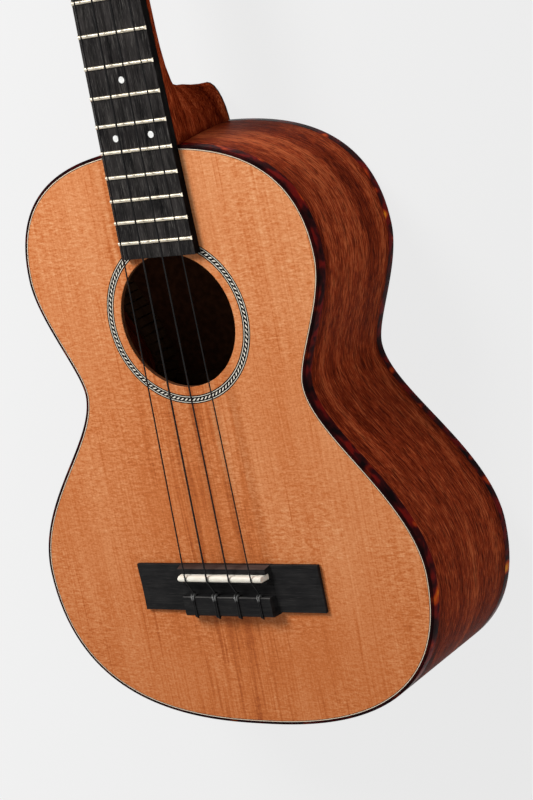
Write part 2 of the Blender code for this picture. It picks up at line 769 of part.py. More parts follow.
def build_bridge(frame, black):
    """Low wings, and a raised middle with a saddle slot, a channel and a drilled block for the ties."""
    wings = []
    for x, top in ((1.0, 0.0010), (0.92, WING_TOP - 0.0003), (0.45, WING_TOP)):
        wings.append((BRIDGE_HALF_LENGTH * x, top))
    stations = [(-x, top) for x, top in wings] + [(x, top) for x, top in reversed(wings)]
    sections = [
        [
            (x, BRIDGE_REAR_Y, GAP),
            (x, BRIDGE_FRONT_Y, GAP),
            (x, BRIDGE_FRONT_Y, top - 0.0003),
            (x, BRIDGE_FRONT_Y - 0.0003, top),
            (x, BRIDGE_REAR_Y + 0.0003, top),
            (x, BRIDGE_REAR_Y, top - 0.0003),
        ]
        for x, top in stations
    ]
    bridge = loft("bridge", sections, black, frame)
    slot_front = SADDLE_Y + SADDLE_THICKNESS / 2 + GAP
    slot_rear = SADDLE_Y - SADDLE_THICKNESS / 2 - GAP
    slot_floor = SADDLE_FOOT - GAP
    profile = [
        (BRIDGE_FRONT_Y + 0.0001, GAP),
        (BRIDGE_FRONT_Y + 0.0001, WING_TOP),
        (BRIDGE_FRONT_Y - 0.0008, CENTRE_TOP),
        (slot_front, CENTRE_TOP),
        (slot_front, slot_floor),
        (slot_rear, slot_floor),
        (slot_rear, CENTRE_TOP),
        (slot_rear - 0.0014, CENTRE_TOP),
        (slot_rear - 0.0034, 0.0027),
        (TIE_BLOCK_FRONT_Y, 0.0027),
        (TIE_BLOCK_FRONT_Y, TIE_BLOCK_TOP - 0.0005),
        (TIE_BLOCK_FRONT_Y - 0.0005, TIE_BLOCK_TOP),
        (TIE_BLOCK_REAR_Y + 0.0008, TIE_BLOCK_TOP),
        (TIE_BLOCK_REAR_Y, TIE_BLOCK_TOP - 0.0008),
        (TIE_BLOCK_REAR_Y, GAP),
    ]
    sections = []
    for x in (-CENTRE_HALF_LENGTH, CENTRE_HALF_LENGTH):
        lean = END_LEAN if x > 0 else -END_LEAN
        sections.append([(x - lean * z, y, z) for y, z in profile])
    middle = loft("bridge_middle", sections, black, frame)
    combine(bridge, middle, "UNION")
    for index, name in enumerate(STRING_NAMES):
        x = (index - 1.5) * SADDLE_SPACING
        drill = cylinder(f"tie_drill_{name}", 0.0009, -0.010, 0.010, 12, black, frame)
        drill.location = (x, (TIE_BLOCK_FRONT_Y + TIE_BLOCK_REAR_Y) / 2, TIE_HOLE_Z)
        drill.rotation_euler = (math.radians(90), 0, 0)
        combine(bridge, drill, "DIFFERENCE")


def build_saddle(frame, bone):
    """A bar with a rounded crown, whose ends lean with those of the bridge's middle."""
    sections = []
    for side, inset, slim in ((-1, 0, 0.5), (-1, 0.0008, 1), (1, 0.0004, 1), (1, 0, 0.75)):
        half = SADDLE_THICKNESS / 2 * slim
        profile = [
            (-half, SADDLE_FOOT),
            (half, SADDLE_FOOT),
            (half, SADDLE_TOP - 0.0012),
            (half * 0.7, SADDLE_TOP - 0.0003),
            (0, SADDLE_TOP),
            (-half * 0.7, SADDLE_TOP - 0.0003),
            (-half, SADDLE_TOP - 0.0012),
        ]
        reach = SADDLE_HALF_LENGTH - inset
        sections.append([(side * (reach - END_LEAN * z), SADDLE_Y + across, z) for across, z in profile])
    loft("saddle", sections, bone, frame)


# Strings

def tie_route(x, radius):
    """From the cut end behind the tie block, over it, round the string, back over and through the block."""
    over = TIE_BLOCK_TOP + GAP + radius
    behind = TIE_BLOCK_REAR_Y - GAP - radius
    ahead = TIE_BLOCK_FRONT_Y + GAP + radius
    points = [
        (x + 0.0010, behind - 0.0002, over - 0.0006),
        (x + 0.0009, behind + 0.0008, over),
        (x + 0.0008, -0.0155, over),
        (x + 0.0009, ahead - 0.0012, over),
        (x + 0.0012, ahead + 0.0006, over - 0.0011),
        (x + 0.0008, ahead + 0.0014, 0.0046),
        (x, ahead + 0.0018, 0.0040),
        (x - 0.0009, ahead + 0.0014, 0.0046),
        (x - 0.0013, ahead + 0.0007, over - 0.0011),
        (x - 0.0009, ahead - 0.0010, over),
        (x - 0.0007, -0.0155, over),
        (x - 0.0005, behind + 0.0010, over),
        (x - 0.0002, behind - 0.0001, over - 0.0014),
        (x, behind - 0.0001, TIE_HOLE_Z + 0.0008),
        (x, behind + 0.0009, TIE_HOLE_Z),
    ]
    route = smooth_route(points, 2)
    route.append(Vector((x, TIE_BLOCK_FRONT_Y - 0.0002, TIE_HOLE_Z)))
    return route


def winding(post_x, post_up, side, radius):
    """Turns round a string post from the string's first touch up to the hole, in the body's frame."""
    coil = POST_WAIST + GAP + radius
    rise = 2 * radius + 0.0005
    start = 0.0062
    points = []
    total = WINDING_TURNS * POINTS_PER_TURN
    for i in range(total + 1):
        turn = i / POINTS_PER_TURN
        angle = math.pi if side > 0 else 0
        angle += -side * 2 * math.pi * turn
        x = post_x + coil * math.cos(angle)
        up = post_up + coil * math.sin(angle)
        points.append(head_point(x, up, start + rise * turn))
    return points


def own_gap(points, radius):
    """The least gap of a tube to itself, measured on its points, past the ones close along the tube."""
    nearest = 1.0
    for i, point in enumerate(points):
        along = 0
        for before, after in zip(points[i:], points[i + 1:]):
            along += (after - before).length
            if along > 8 * radius:
                nearest = min(nearest, (after - point).length)
    return nearest - 2 * radius


def build_strings(frame, nylon):
    for index, name in enumerate(STRING_NAMES):
        radius = STRING_DIAMETERS[index] / 2
        x = (index - 1.5) * SADDLE_SPACING
        nut_x = (index - 1.5) * NUT_SPACING
        side = -1 if index < 2 else 1
        up = POST_UP_HEAD[0] if index in (0, 3) else POST_UP_HEAD[1]
        over_saddle = SADDLE_TOP + GAP + radius
        route = tie_route(x, radius)
        route.append(Vector((x, SADDLE_Y - 0.0013, over_saddle - 0.0002)))
        route.append(Vector((x, SADDLE_Y, over_saddle)))
        height = nut_string_height(radius)
        route.append(Vector((nut_x, NUT_Y + 0.0006, height)))
        route.append(Vector((nut_x, NUT_Y + NUT_LENGTH - 0.0008, height - 0.0003)))
        gap = own_gap(route[:-4], radius)
        turns = winding(side * POST_X, up, side, radius)
        gap = min(gap, own_gap(turns, radius))
        print(f"string_{name}: least gap to itself {gap * 1000:.2f} mm")
        route += turns
        curve = bpy.data.curves.new(f"string_{name}", "CURVE")
        curve.dimensions = "3D"
        curve.bevel_depth = radius
        curve.bevel_resolution = 1
        curve.use_fill_caps = True
        spline = curve.splines.new("POLY")
        spline.points.add(len(route) - 1)
        for point, place in zip(spline.points, route):
            point.co = (*place, 1)
        add_object(f"string_{name}", curve, nylon, frame)


# Tuners

def tuner_places():
    """Name, x, distance up the headstock and side of each string's post."""
    near, far = POST_UP_HEAD
    return (
        ("g", -POST_X, near, -1),
        ("c", -POST_X, far, -1),
        ("e", POST_X, far, 1),
        ("a", POST_X, near, 1),
    )


PLATE_TOP = -HEAD_THICKNESS - GAP
PLATE_BOTTOM = PLATE_TOP - PLATE_METAL
WORM_HEIGHT = PLATE_BOTTOM - WORM_TIP_RADIUS - 0.0004


def build_tuner_plate(head, name, x, up, side, metal):
    """A stamped base plate whose two ears carry the worm's shaft."""
    plan = [(-0.0085, -0.0065), (0.0105, -0.0065), (0.0105, 0.0125), (-0.0085, 0.0125)]
    plan = [(side * a, b) for a, b in plan]
    plate = extrude(f"tuner_plate_{name}", plan, "Z", PLATE_BOTTOM, PLATE_TOP, metal, head, (x, up, 0))
    ear_tip = WORM_HEIGHT - 0.0032
    for index, inner in enumerate((-0.0080, 0.0088)):
        ends = [side * inner, side * (inner + PLATE_METAL)]
        profile = [
            (WORM_OFFSET - 0.0042, PLATE_BOTTOM + 0.0004),
            (WORM_OFFSET + 0.0042, PLATE_BOTTOM + 0.0004),
            (WORM_OFFSET + 0.0036, WORM_HEIGHT - 0.0010),
            (WORM_OFFSET + 0.0018, ear_tip),
            (WORM_OFFSET - 0.0018, ear_tip),
            (WORM_OFFSET - 0.0036, WORM_HEIGHT - 0.0010),
        ]
        ear = extrude(f"tuner_ear_{name}_{index}", profile, "X", min(ends), max(ends), metal, head, (x, up, 0))
        combine(plate, ear, "UNION")
    post_hole = cylinder(f"plate_drill_{name}", POST_HOLE_RADIUS, -0.03, 0.01, 20, metal, head, (x, up, 0))
    combine(plate, post_hole, "DIFFERENCE")
    shaft_hole = cylinder(f"ear_drill_{name}", SHAFT_RADIUS + GAP, -0.02, 0.02, 14, metal, head)
    shaft_hole.location = (x, up + WORM_OFFSET, WORM_HEIGHT)
    shaft_hole.rotation_euler = (0, math.radians(90), 0)
    combine(plate, shaft_hole, "DIFFERENCE")


def worm_thread(name, metal, head):
    """The helical ridge of the worm, right-handed along +X, with a crest at x = 0 on its -Y side."""
    steps = 10
    half_root = 0.00046
    half_tip = 0.00022
    sunk = WORM_ROOT_RADIUS - 0.0003
    sections = []
    total = round(WORM_TURNS * steps)
    for i in range(total + 1):
        turn = (i - total / 2) / steps
        angle = math.pi + 2 * math.pi * turn
        outward = Vector((0, math.cos(angle), math.sin(angle)))
        centre = Vector((WORM_PITCH * turn, 0, 0))
        along = Vector((1, 0, 0))
        sections.append([
            centre + outward * sunk - along * half_root,
            centre + outward * sunk + along * half_root,
            centre + outward * WORM_TIP_RADIUS + along * half_tip,
            centre + outward * WORM_TIP_RADIUS - along * half_tip,
        ])
    return loft(name, sections, metal, head)


def build_tuner_button(head, name, x, up, side, metal):
    """Worm, shaft and button turn as one. Its origin is on the shaft's axis, over the gear."""
    place = (x, up + WORM_OFFSET, WORM_HEIGHT)
    start = BUTTON_INNER
    profile = [
        (0, -0.0086),
        (SHAFT_RADIUS, -0.0086),
        (SHAFT_RADIUS, -0.0060),
        (WORM_ROOT_RADIUS, -0.0054),
        (WORM_ROOT_RADIUS, 0.0070),
        (SHAFT_RADIUS, 0.0076),
        (SHAFT_RADIUS, start - 0.0030),
        (0.0023, start - 0.0020),
        (0.0023, start + 0.0020),
        (0, start + 0.0020),
    ]
    profile = [(radius, height) for radius, height in reversed(profile)]
    button = lathe(f"tuner_button_{name}", profile, 10, metal, head, place)
    for vertex in button.data.vertices:
        vertex.co = Vector((vertex.co.z, vertex.co.y, -vertex.co.x))
    button.rotation_euler = (0, 0 if side > 0 else math.pi, 0)
    thread = worm_thread(f"worm_thread_{name}", metal, head)
    knob = build_knob(f"button_knob_{name}", head, metal)
    for tool in (thread, knob):
        tool.location = place
        tool.rotation_euler = button.rotation_euler
        combine(button, tool, "UNION")


def build_knob(name, head, material):
    """The grip: an oval paddle, flat in the shaft's plane, with a rounded rim."""
    stations = ((0, 0.6), (0.003, 0.9), (0.0075, 1), (0.0125, 0.85), (0.015, 0.45))
    sections = []
    for along, scale in stations:
        half_wide = 0.0068 * scale
        half_thick = 0.0030 * (0.55 + 0.45 * scale)
        ring = []
        for i in range(10):
            angle = 2 * math.pi * i / 10
            across = math.copysign(abs(math.cos(angle)) ** 0.8, math.cos(angle))
            deep = math.copysign(abs(math.sin(angle)) ** 0.8, math.sin(angle))
            ring.append((BUTTON_INNER + along, half_wide * across, half_thick * deep))
        sections.append(ring)
    return loft(name, sections, material, head)


def gear_outline(turn):
    """Plan of the gear: a tooth space faces +Y when the turn is zero."""
    pitch = 2 * math.pi / GEAR_TEETH
    points = []
    for tooth in range(GEAR_TEETH):
        middle = math.pi / 2 + turn + (tooth + 0.5) * pitch
        for offset, radius in (
            (-0.30, GEAR_ROOT_RADIUS),
            (-0.11, GEAR_TIP_RADIUS),
            (0.11, GEAR_TIP_RADIUS),
            (0.30, GEAR_ROOT_RADIUS),
        ):
            angle = middle + offset * pitch
            points.append((radius * math.cos(angle), radius * math.sin(angle)))
    return points


def build_tuner_post(head, name, x, up, metal):
    """The string post with the gear on its foot. The teeth slant to match the worm's thread."""
    gear_low = WORM_HEIGHT - GEAR_THICKNESS / 2
    gear_high = WORM_HEIGHT + GEAR_THICKNESS / 2
    face = GAP + VENEER_THICKNESS
    profile = [
        (0, POST_TOP),
        (POST_RADIUS - 0.0008, POST_TOP),
        (POST_RADIUS, POST_TOP - 0.0008),
        (POST_WAIST, POST_TOP - 0.0034),
        (POST_WAIST, face + 0.0030),
        (POST_RADIUS, face + 0.0022),
        (POST_RADIUS, gear_low - 0.0006),
        (0, gear_low - 0.0006),
    ]
    post = lathe(f"tuner_post_{name}", profile, 14, metal, head, (x, up, 0))
    slope = WORM_PITCH / (2 * math.pi * (WORM_ROOT_RADIUS + WORM_TIP_RADIUS) / 2)
    slant = slope * GEAR_THICKNESS / 2 / GEAR_PITCH_RADIUS
    sections = [
        [(a, b, gear_low) for a, b in gear_outline(-slant)],
        [(a, b, gear_high) for a, b in gear_outline(slant)],
    ]
    gear = loft(f"gear_blank_{name}", sections, metal, head, location=(x, up, 0))
    combine(post, gear, "UNION")
    hole = cylinder(f"string_drill_{name}", 0.0007, -0.01, 0.01, 8, metal, head)
    hole.location = (x, up, 0.0098)
    hole.rotation_euler = (0, math.radians(90), 0)
    combine(post, hole, "DIFFERENCE")


def build_tuners(head, plate_metal, gear_metal, button_metal):
    for name, x, up, side in tuner_places():
        build_tuner_plate(head, name, x, up, side, plate_metal)
        build_tuner_button(head, name, x, up, side, button_metal)
        build_tuner_post(head, name, x, up, gear_metal)


def body_frame():
    """The soundboard's frame, tipped so that the back is level, with the whole centred on Y."""
    tilt = -math.atan(DEPTH_TAPER)
    turn = Matrix.Rotation(tilt, 3, "X")
    tail = turn @ Vector((0, TAIL_Y, back_z(TAIL_Y)))
    tail_top = turn @ Vector((0, TAIL_Y, -0.0006))
    head_end = turn @ head_point(0, HEAD_LENGTH, GAP + VENEER_THICKNESS)
    middle = (min(tail.y, tail_top.y) + head_end.y) / 2
    return make_frame("soundboard_frame", None, (0, -middle, -tail.z), tilt)


def main():
    clear_scene()
    frame = body_frame()
    head = make_frame("headstock_frame", frame, (0, HEAD_Y, 0), -HEAD_ANGLE)
    cedar = finish("cedar_top", (0.72, 0.36, 0.16), 0.42)
    mahogany = finish("mahogany", (0.20, 0.055, 0.025), 0.35)
    spruce = finish("inner_wood", (0.55, 0.36, 0.20), 0.7)
    tortoise = finish("tortoiseshell", (0.05, 0.008, 0.005), 0.2)
    ebony = finish("black_wood", (0.02, 0.018, 0.018), 0.45)
    white = finish("white_line", (0.75, 0.72, 0.65), 0.5)
    bone = finish("bone", (0.80, 0.74, 0.60), 0.4)
    nickel = finish("fret_metal", (0.62, 0.60, 0.56), 0.3, 1.0)
    chrome = finish("tuner_metal", (0.70, 0.70, 0.72), 0.15, 1.0)
    brass = finish("gear_brass", (0.75, 0.55, 0.25), 0.3, 1.0)
    nylon = finish("black_nylon", (0.02, 0.02, 0.022), 0.3)
    build_soundboard(frame, cedar)
    build_back(frame, mahogany)
    build_side(frame, "side_left", -1, mahogany)
    build_side(frame, "side_right", 1, mahogany)
    build_edge_rings(frame, tortoise, white)
    build_rosette(frame, white)
    build_linings(frame, spruce)
    build_block(frame, "neck_block", NECK_BLOCK, -1, spruce)
    build_block(frame, "tail_block", TAIL_BLOCK, 1, spruce)
    build_braces(frame, spruce)
    build_bridge_plate_and_fans(frame, spruce)
    build_neck(frame, head, mahogany)
    build_heel_cap(frame, ebony)
    build_head_veneer(head, ebony)
    build_fingerboard(frame, ebony)
    build_frets(frame, nickel)
    build_nut(frame, bone)
    build_bridge(frame, ebony)
    build_saddle(frame, bone)
    build_strings(frame, nylon)
    build_tuners(head, chrome, brass, chrome)


main()
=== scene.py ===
# %% [markdown]
# # A tenor ukulele, dressed for its picture
#
# The measured model of the instrument is already built: body, neck, bridge, strings and tuners, each
# at its real size. This lesson gives it its looks. Each step first says what the piece or finish is on
# the real instrument, then how it is made in Blender and why.

import math

import bmesh
import bpy
from mathutils import Matrix, Vector
from mathutils.geometry import interpolate_bezier


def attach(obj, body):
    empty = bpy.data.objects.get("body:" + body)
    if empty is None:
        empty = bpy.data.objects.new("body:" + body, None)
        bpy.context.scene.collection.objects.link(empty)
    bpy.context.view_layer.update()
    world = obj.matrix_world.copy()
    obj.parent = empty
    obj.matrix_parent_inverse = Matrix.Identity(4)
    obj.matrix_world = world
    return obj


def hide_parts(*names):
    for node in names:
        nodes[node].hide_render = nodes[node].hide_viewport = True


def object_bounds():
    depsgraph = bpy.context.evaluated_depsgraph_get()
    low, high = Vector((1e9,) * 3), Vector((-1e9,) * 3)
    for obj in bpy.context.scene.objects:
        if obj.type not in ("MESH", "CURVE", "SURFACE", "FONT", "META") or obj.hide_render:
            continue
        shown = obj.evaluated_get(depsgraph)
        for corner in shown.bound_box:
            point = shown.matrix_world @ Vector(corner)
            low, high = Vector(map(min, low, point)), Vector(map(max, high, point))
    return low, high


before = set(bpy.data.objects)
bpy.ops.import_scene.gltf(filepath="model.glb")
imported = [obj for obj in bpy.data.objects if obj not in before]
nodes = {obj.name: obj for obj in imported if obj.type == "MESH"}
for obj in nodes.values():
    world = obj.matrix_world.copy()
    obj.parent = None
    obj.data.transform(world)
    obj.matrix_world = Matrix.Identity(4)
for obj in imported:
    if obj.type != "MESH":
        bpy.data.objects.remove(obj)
cad_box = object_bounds()
print(len(nodes), "nodes, box", [round(c, 4) for corner in cad_box for c in corner])

# %% [markdown]
# ## Two frames of reference
#
# The ukulele lies on its flat back, and because the body is deeper at the tail, its soundboard slopes
# down towards the neck by 3.3 degrees. Shaping the visible pieces is far easier on a level board, so
# everything is modelled in the soundboard's own frame, with y = 0 at the saddle, and one matrix then
# carries the finished mesh into place. The headstock tips back by another ten degrees.

# %% Frames of the soundboard and of the headstock
SLOPE = 0.0573
DEPTH_AT_SADDLE = 0.0795
TAIL_Y = -0.081
NUT_Y = 0.4318
HEAD_Y = NUT_Y + 0.005


def back_height(y, above=0.0):
    """The height of the back's outside face under the soundboard, or of a level above that face."""
    return SLOPE * y - DEPTH_AT_SADDLE + above


tilt = Matrix.Rotation(-math.atan(SLOPE), 4, "X")
tail_corner = tilt @ Vector((0, TAIL_Y, back_height(TAIL_Y)))
BODY = Matrix.Translation((0, cad_box[0].y - tail_corner.y, -tail_corner.z)) @ tilt
HEAD = BODY @ Matrix.Translation((0, HEAD_Y, 0)) @ Matrix.Rotation(math.radians(-10), 4, "X")
print("soundboard frame at", [round(c, 4) for c in BODY.translation])


# %% Widths along the neck
NUT_WIDTH = 0.035
JOIN_WIDTH = 0.0425
JOIN_FRET = 12


def fret_y(number):
    """A fret's distance from the saddle: each step is the twelfth root of two shorter."""
    return NUT_Y * 2 ** (-number / 12)


def neck_half_width(y):
    taper = (NUT_WIDTH - JOIN_WIDTH) / (NUT_Y - fret_y(JOIN_FRET))
    return (NUT_WIDTH + taper * (y - NUT_Y)) / 2


print("join at", round(fret_y(JOIN_FRET), 4), "half width", round(neck_half_width(fret_y(JOIN_FRET)), 4))

# %% [markdown]
# ## A shorthand for shader maths
#
# A wood grain is a sum of noises, masks and colour ramps. Written node by node it is unreadable, so
# one small class wraps a socket and lets Python's own operators add the Math nodes, and one method
# adds any other node from its type, its settings and what goes into its sockets. Colours are written
# as they look on the screen, and turned into the shader's numbers where they enter a node.

# %% Colours
def colour(red, green, blue):
    """A colour as seen on screen, 0 to 255, turned into the linear numbers that a shader takes."""

    def linear(value):
        value = value / 255
        return value / 12.92 if value <= 0.04045 else ((value + 0.055) / 1.055) ** 2.4

    return linear(red), linear(green), linear(blue), 1


print("middle grey is", round(colour(128, 128, 128)[0], 3))


# %% Values that flow through a material
class Flow:
    """An output socket that can be added, multiplied or raised to a power like a number."""

    def __init__(self, finish, socket):
        self.finish = finish
        self.socket = socket

    def maths(self, operation, *others):
        return self.finish.node("Math", {"operation": operation}, dict(enumerate((self, *others))))

    def __add__(self, other):
        return self.maths("ADD", other)

    def __mul__(self, other):
        return self.maths("MULTIPLY", other)

    def __sub__(self, other):
        return self.maths("SUBTRACT", other)

    def __rsub__(self, other):
        return self.finish.node("Math", {"operation": "SUBTRACT"}, {0: other, 1: self})

    def __truediv__(self, other):
        return self.maths("DIVIDE", other)

    def __pow__(self, other):
        return self.maths("POWER", other)

    def __abs__(self):
        return self.maths("ABSOLUTE")

    __radd__ = __add__
    __rmul__ = __mul__


class Finish:
    """A material, or a world, whose shader's constants are set on its own sockets."""

    def __init__(self, name, family=bpy.data.materials, shader="Principled BSDF", **constants):
        self.material = family.new(name)
        self.material.use_nodes = True
        self.tree = self.material.node_tree
        self.shader = self.tree.nodes[shader]
        for key, value in constants.items():
            self.shader.inputs[key.replace("_", " ")].default_value = value

    def node(self, kind, settings=None, sockets=None, out=0):
        """A new node's output, with its settings made first and its sockets filled or linked."""
        node = self.tree.nodes.new("ShaderNode" + kind)
        for key, value in (settings or {}).items():
            if key == "stops":
                self.set_stops(node.color_ramp, value)
            else:
                setattr(node, key, value)
        for key, value in (sockets or {}).items():
            if isinstance(value, Flow):
                self.tree.links.new(value.socket, node.inputs[key])
            else:
                node.inputs[key].default_value = value
        return Flow(self, node.outputs[out])

    @staticmethod
    def set_stops(ramp, stops):
        while len(ramp.elements) < len(stops):
            ramp.elements.new(0.5)
        for element, (place, seen) in zip(ramp.elements, stops):
            element.position = place
            element.color = colour(*seen)

    def feed(self, socket, value):
        self.tree.links.new(value.socket, self.shader.inputs[socket])

    def place(self):
        """The three coordinates of a point on the object."""
        split = self.node("SeparateXYZ", {}, {"Vector": self.node("TexCoord", out="Object")})
        outputs = split.socket.node.outputs
        return [Flow(self, outputs[axis]) for axis in "XYZ"]

    def attribute(self, name):
        return self.node("Attribute", {"attribute_name": name}, out="Fac")

    def noise(self, spot, detail, roughness=0.5, distortion=0.0):
        """A noise at two or three coordinates, each already stretched."""
        spot = self.node("CombineXYZ", {}, dict(zip("XYZ", spot)))
        sockets = {"Vector": spot, "Scale": 1.0, "Detail": detail}
        sockets.update({"Roughness": roughness, "Distortion": distortion})
        return self.node("TexNoise", {}, sockets)

    def step(self, value, low, high):
        """0 below low, 1 above high, and smooth between."""
        sockets = {"Value": value, "From Min": low, "From Max": high}
        return self.node("MapRange", {"interpolation_type": "SMOOTHSTEP"}, sockets)

    def ramp(self, value, *stops):
        return self.node("ValToRGB", {"stops": stops}, {"Fac": value})

    def blend(self, factor, first, second):
        """A mix of two colours, each of them a flow or three numbers as seen on screen."""
        first, second = [colour(*c) if isinstance(c, tuple) else c for c in (first, second)]
        return self.node("Mix", {"data_type": "RGBA"}, {0: factor, 6: first, 7: second}, out=2)

    def seen(self):
        """1 for what the camera, a reflection or glass looks at, and 0 for what only lights."""
        outputs = self.node("LightPath").socket.node.outputs
        looks = Flow(self, outputs["Is Camera Ray"])
        for kind in ("Is Glossy Ray", "Is Transmission Ray"):
            looks = looks.maths("MAXIMUM", Flow(self, outputs[kind]))
        return looks

    def bump(self, height, distance, strength):
        sockets = {"Height": height, "Distance": distance, "Strength": strength}
        self.feed("Normal", self.node("Bump", {}, sockets))


print("shader shorthand ready")

# %% [markdown]
# ## The soundboard's cedar
#
# Quarter-sawn cedar has fine straight growth lines along the strings, and across them short silky
# flecks where the rays are cut. Both are noises on x and y, one stretched along y and one along x.
# Slow noises give the broad bands and patches. The board darkens towards the tail and along a strip
# under the strings, where the darkest growth lines run, and its oiled surface is faintly pebbled.

# %% Cedar
def cedar_finish():
    wood = Finish("cedar", Specular_IOR_Level=0.12)
    x, y, _ = wood.place()
    wander = wood.noise((x * 14, y * 9), 2) - 0.5
    across = x + wander * 0.004
    lines = wood.noise((across * 900, y * 7), 3, 0.6)
    bands = wood.noise((across * 95, y * 2.2), 2)
    silk = wood.noise((x * 230, y * 800), 3, 0.7, 0.7)
    flecks = wood.noise((x * 700, y * 1100), 2, 0.7)
    patches = wood.noise((x * 16, y * 11), 3)
    silk_here = wood.step(wood.noise((x * 22 + 3, y * 15), 1), 0.3, 0.62)
    hairline = wood.step(wood.noise((across * 520, y * 13), 2, 0.6), 0.60, 0.74)
    tone = 0.5 + (lines - 0.5) * 0.4 + (bands - 0.5) * 0.16 + (patches - 0.5) * 0.35
    tone = tone + (silk - 0.5) * (0.42 + silk_here * 0.6) + (flecks - 0.5) * 0.5 - hairline * 0.16
    middle = wood.step(abs(x + wander * 0.01), 0.0, 0.012)
    under_strings = wood.step(abs(x + 0.006), 0.045, 0.008)
    dark_grain = wood.step(wood.noise((across * 330, y * 16, 4), 2, 0.6), 0.46, 0.66)
    tone = tone + y * 0.55 + 0.05 + middle * 0.07 - under_strings * (dark_grain * 0.22 + 0.03)
    paint = wood.ramp(
        tone,
        (0.0, (146, 66, 26)),
        (0.38, (196, 109, 55)),
        (0.60, (216, 139, 88)),
        (1.0, (244, 186, 136)),
    )
    wood.feed("Base Color", paint)
    wood.feed("Roughness", 0.38 + silk * 0.14)
    wood.bump(silk * 0.4 + flecks * 0.6 + lines * 0.3, 0.00012, 0.5)
    return wood.material


cedar = cedar_finish()
print("cedar done")

# %% [markdown]
# ## Mahogany
#
# The sides, back and neck are straight-grained mahogany: ribbon bands a centimetre or two wide, finer
# streaks inside them, and short dark open pores. All follow the grain, so the finish takes the two
# coordinates it needs: how far along the grain, and how far across. On the bent sides the first one is
# an attribute stored on the mesh, "run", because the grain runs round the waist with the wood. A second
# attribute, "fall", goes from 0 at the top edge to 1 at the back, and darkens the wood near both edges;
# the last seven centimetres at the tail are darkened as painted shade. The neck gets a little painted
# shade all over.

# %% Mahogany
def mahogany_finish(wood, along, across, depth, ribbon_scale, darkening_and_painted_shade):
    sway = wood.noise((along * 6, across * 10, depth * 10), 2) - 0.5
    ripple = wood.noise((along * 80, across * 60, depth * 60), 2) - 0.5
    shift = sway * 0.010 + ripple * 0.0008
    side, deep = across + shift, depth + shift
    ribbon = wood.noise((along * 3.2, side * ribbon_scale, deep * ribbon_scale), 2, 0.5)
    streak = wood.noise((along * 14, side * 600, deep * 600), 3, 0.6)
    fibre = wood.noise((along * 150, side * 2000, deep * 2000), 3, 0.75, 0.2)
    pores = wood.noise((along * 130, side * 1500, deep * 1500), 1)
    pore = wood.step(pores, 0.54, 0.64)
    mottle = wood.noise((along * 110, across * 170, depth * 170), 3)
    tone = 0.5 + (ribbon - 0.5) * 1.5 + (streak - 0.5) * 0.35
    tone = tone + (fibre - 0.5) * 2.3 + (mottle - 0.5) * 0.2 + 0.03 - darkening_and_painted_shade
    paint = wood.ramp(
        tone,
        (0.0, (44, 10, 4)),
        (0.40, (111, 37, 15)),
        (0.62, (145, 56, 27)),
        (0.95, (186, 95, 54)),
    )
    paint = wood.blend(pore * 0.6, paint, (44, 10, 4))
    wood.feed("Base Color", paint)
    wood.feed("Roughness", 0.36 + fibre * 0.16)
    wood.bump(fibre * 0.5 - pore * 0.8, 0.00010, 0.5)
    return wood.material


def side_finish():
    wood = Finish("bent mahogany", Specular_IOR_Level=0.005)
    _, y, z = wood.place()
    fall = wood.attribute("fall")
    edges = (1 - wood.step(fall, 0.06, 0.24)) * 0.20 + wood.step(fall, 0.80, 0.96) * 0.16
    # Painted shade: the last seven centimetres at the tail are darkened.
    edges = edges + (1 - wood.step(y, cad_box[0].y, cad_box[0].y + 0.07)) * 0.42
    return mahogany_finish(wood, wood.attribute("run"), z, 0.0, 75, edges - 0.07)


def neck_finish(name, darkening_and_painted_shade):
    wood = Finish(name, Specular_IOR_Level=0.0)
    x, y, z = wood.place()
    return mahogany_finish(wood, y, x, z, 110, darkening_and_painted_shade)


side_wood = side_finish()
# The neck gets a little painted shade all over.
shaded_neck_wood = neck_finish("neck mahogany with painted shade", 0.1)
back_wood = neck_finish("back mahogany", 0.0)
print("mahogany done")

# %% [markdown]
# ## Tortoiseshell and black wood
#
# The binding imitates tortoiseshell: deep red clouds in near black and a few amber spots, along its
# outer face. Its narrow upper face is almost all black, so the "fall" attribute darkens it there.
# Fingerboard and bridge are oiled black wood with fine grey streaks along the grain; the fingerboard's
# sides are a darker copy of its black, as painted shade. The bridge shows it in three states: plain,
# rubbed grey with a painted highlight at the tie block's edge, and warmer on the front wall, as a
# painted reflection of the cedar in front of it.

# %% Tortoiseshell
def tortoise_finish():
    shell = Finish("tortoiseshell", Roughness=0.25, Specular_IOR_Level=0.01)
    _, _, z = shell.place()
    run = shell.attribute("run")
    upper_face = 1 - shell.step(shell.attribute("fall"), 0.004, 0.016)
    clouds = shell.noise((run * 110, z * 130), 2, 0.5, 0.3)
    spots = shell.noise((run * 85 + 7, z * 60), 1)
    paint = shell.ramp(
        clouds,
        (0.34, (18, 5, 7)),
        (0.50, (54, 11, 12)),
        (0.62, (108, 18, 14)),
    )
    flecks = shell.ramp(
        spots,
        (0.62, (120, 22, 12)),
        (0.69, (184, 66, 16)),
        (0.76, (232, 146, 34)),
    )
    paint = shell.blend(shell.step(spots, 0.58, 0.68), paint, flecks)
    paint = shell.blend(upper_face * 0.8, paint, (20, 7, 8))
    shell.feed("Base Color", paint)
    return shell.material


tortoise = tortoise_finish()


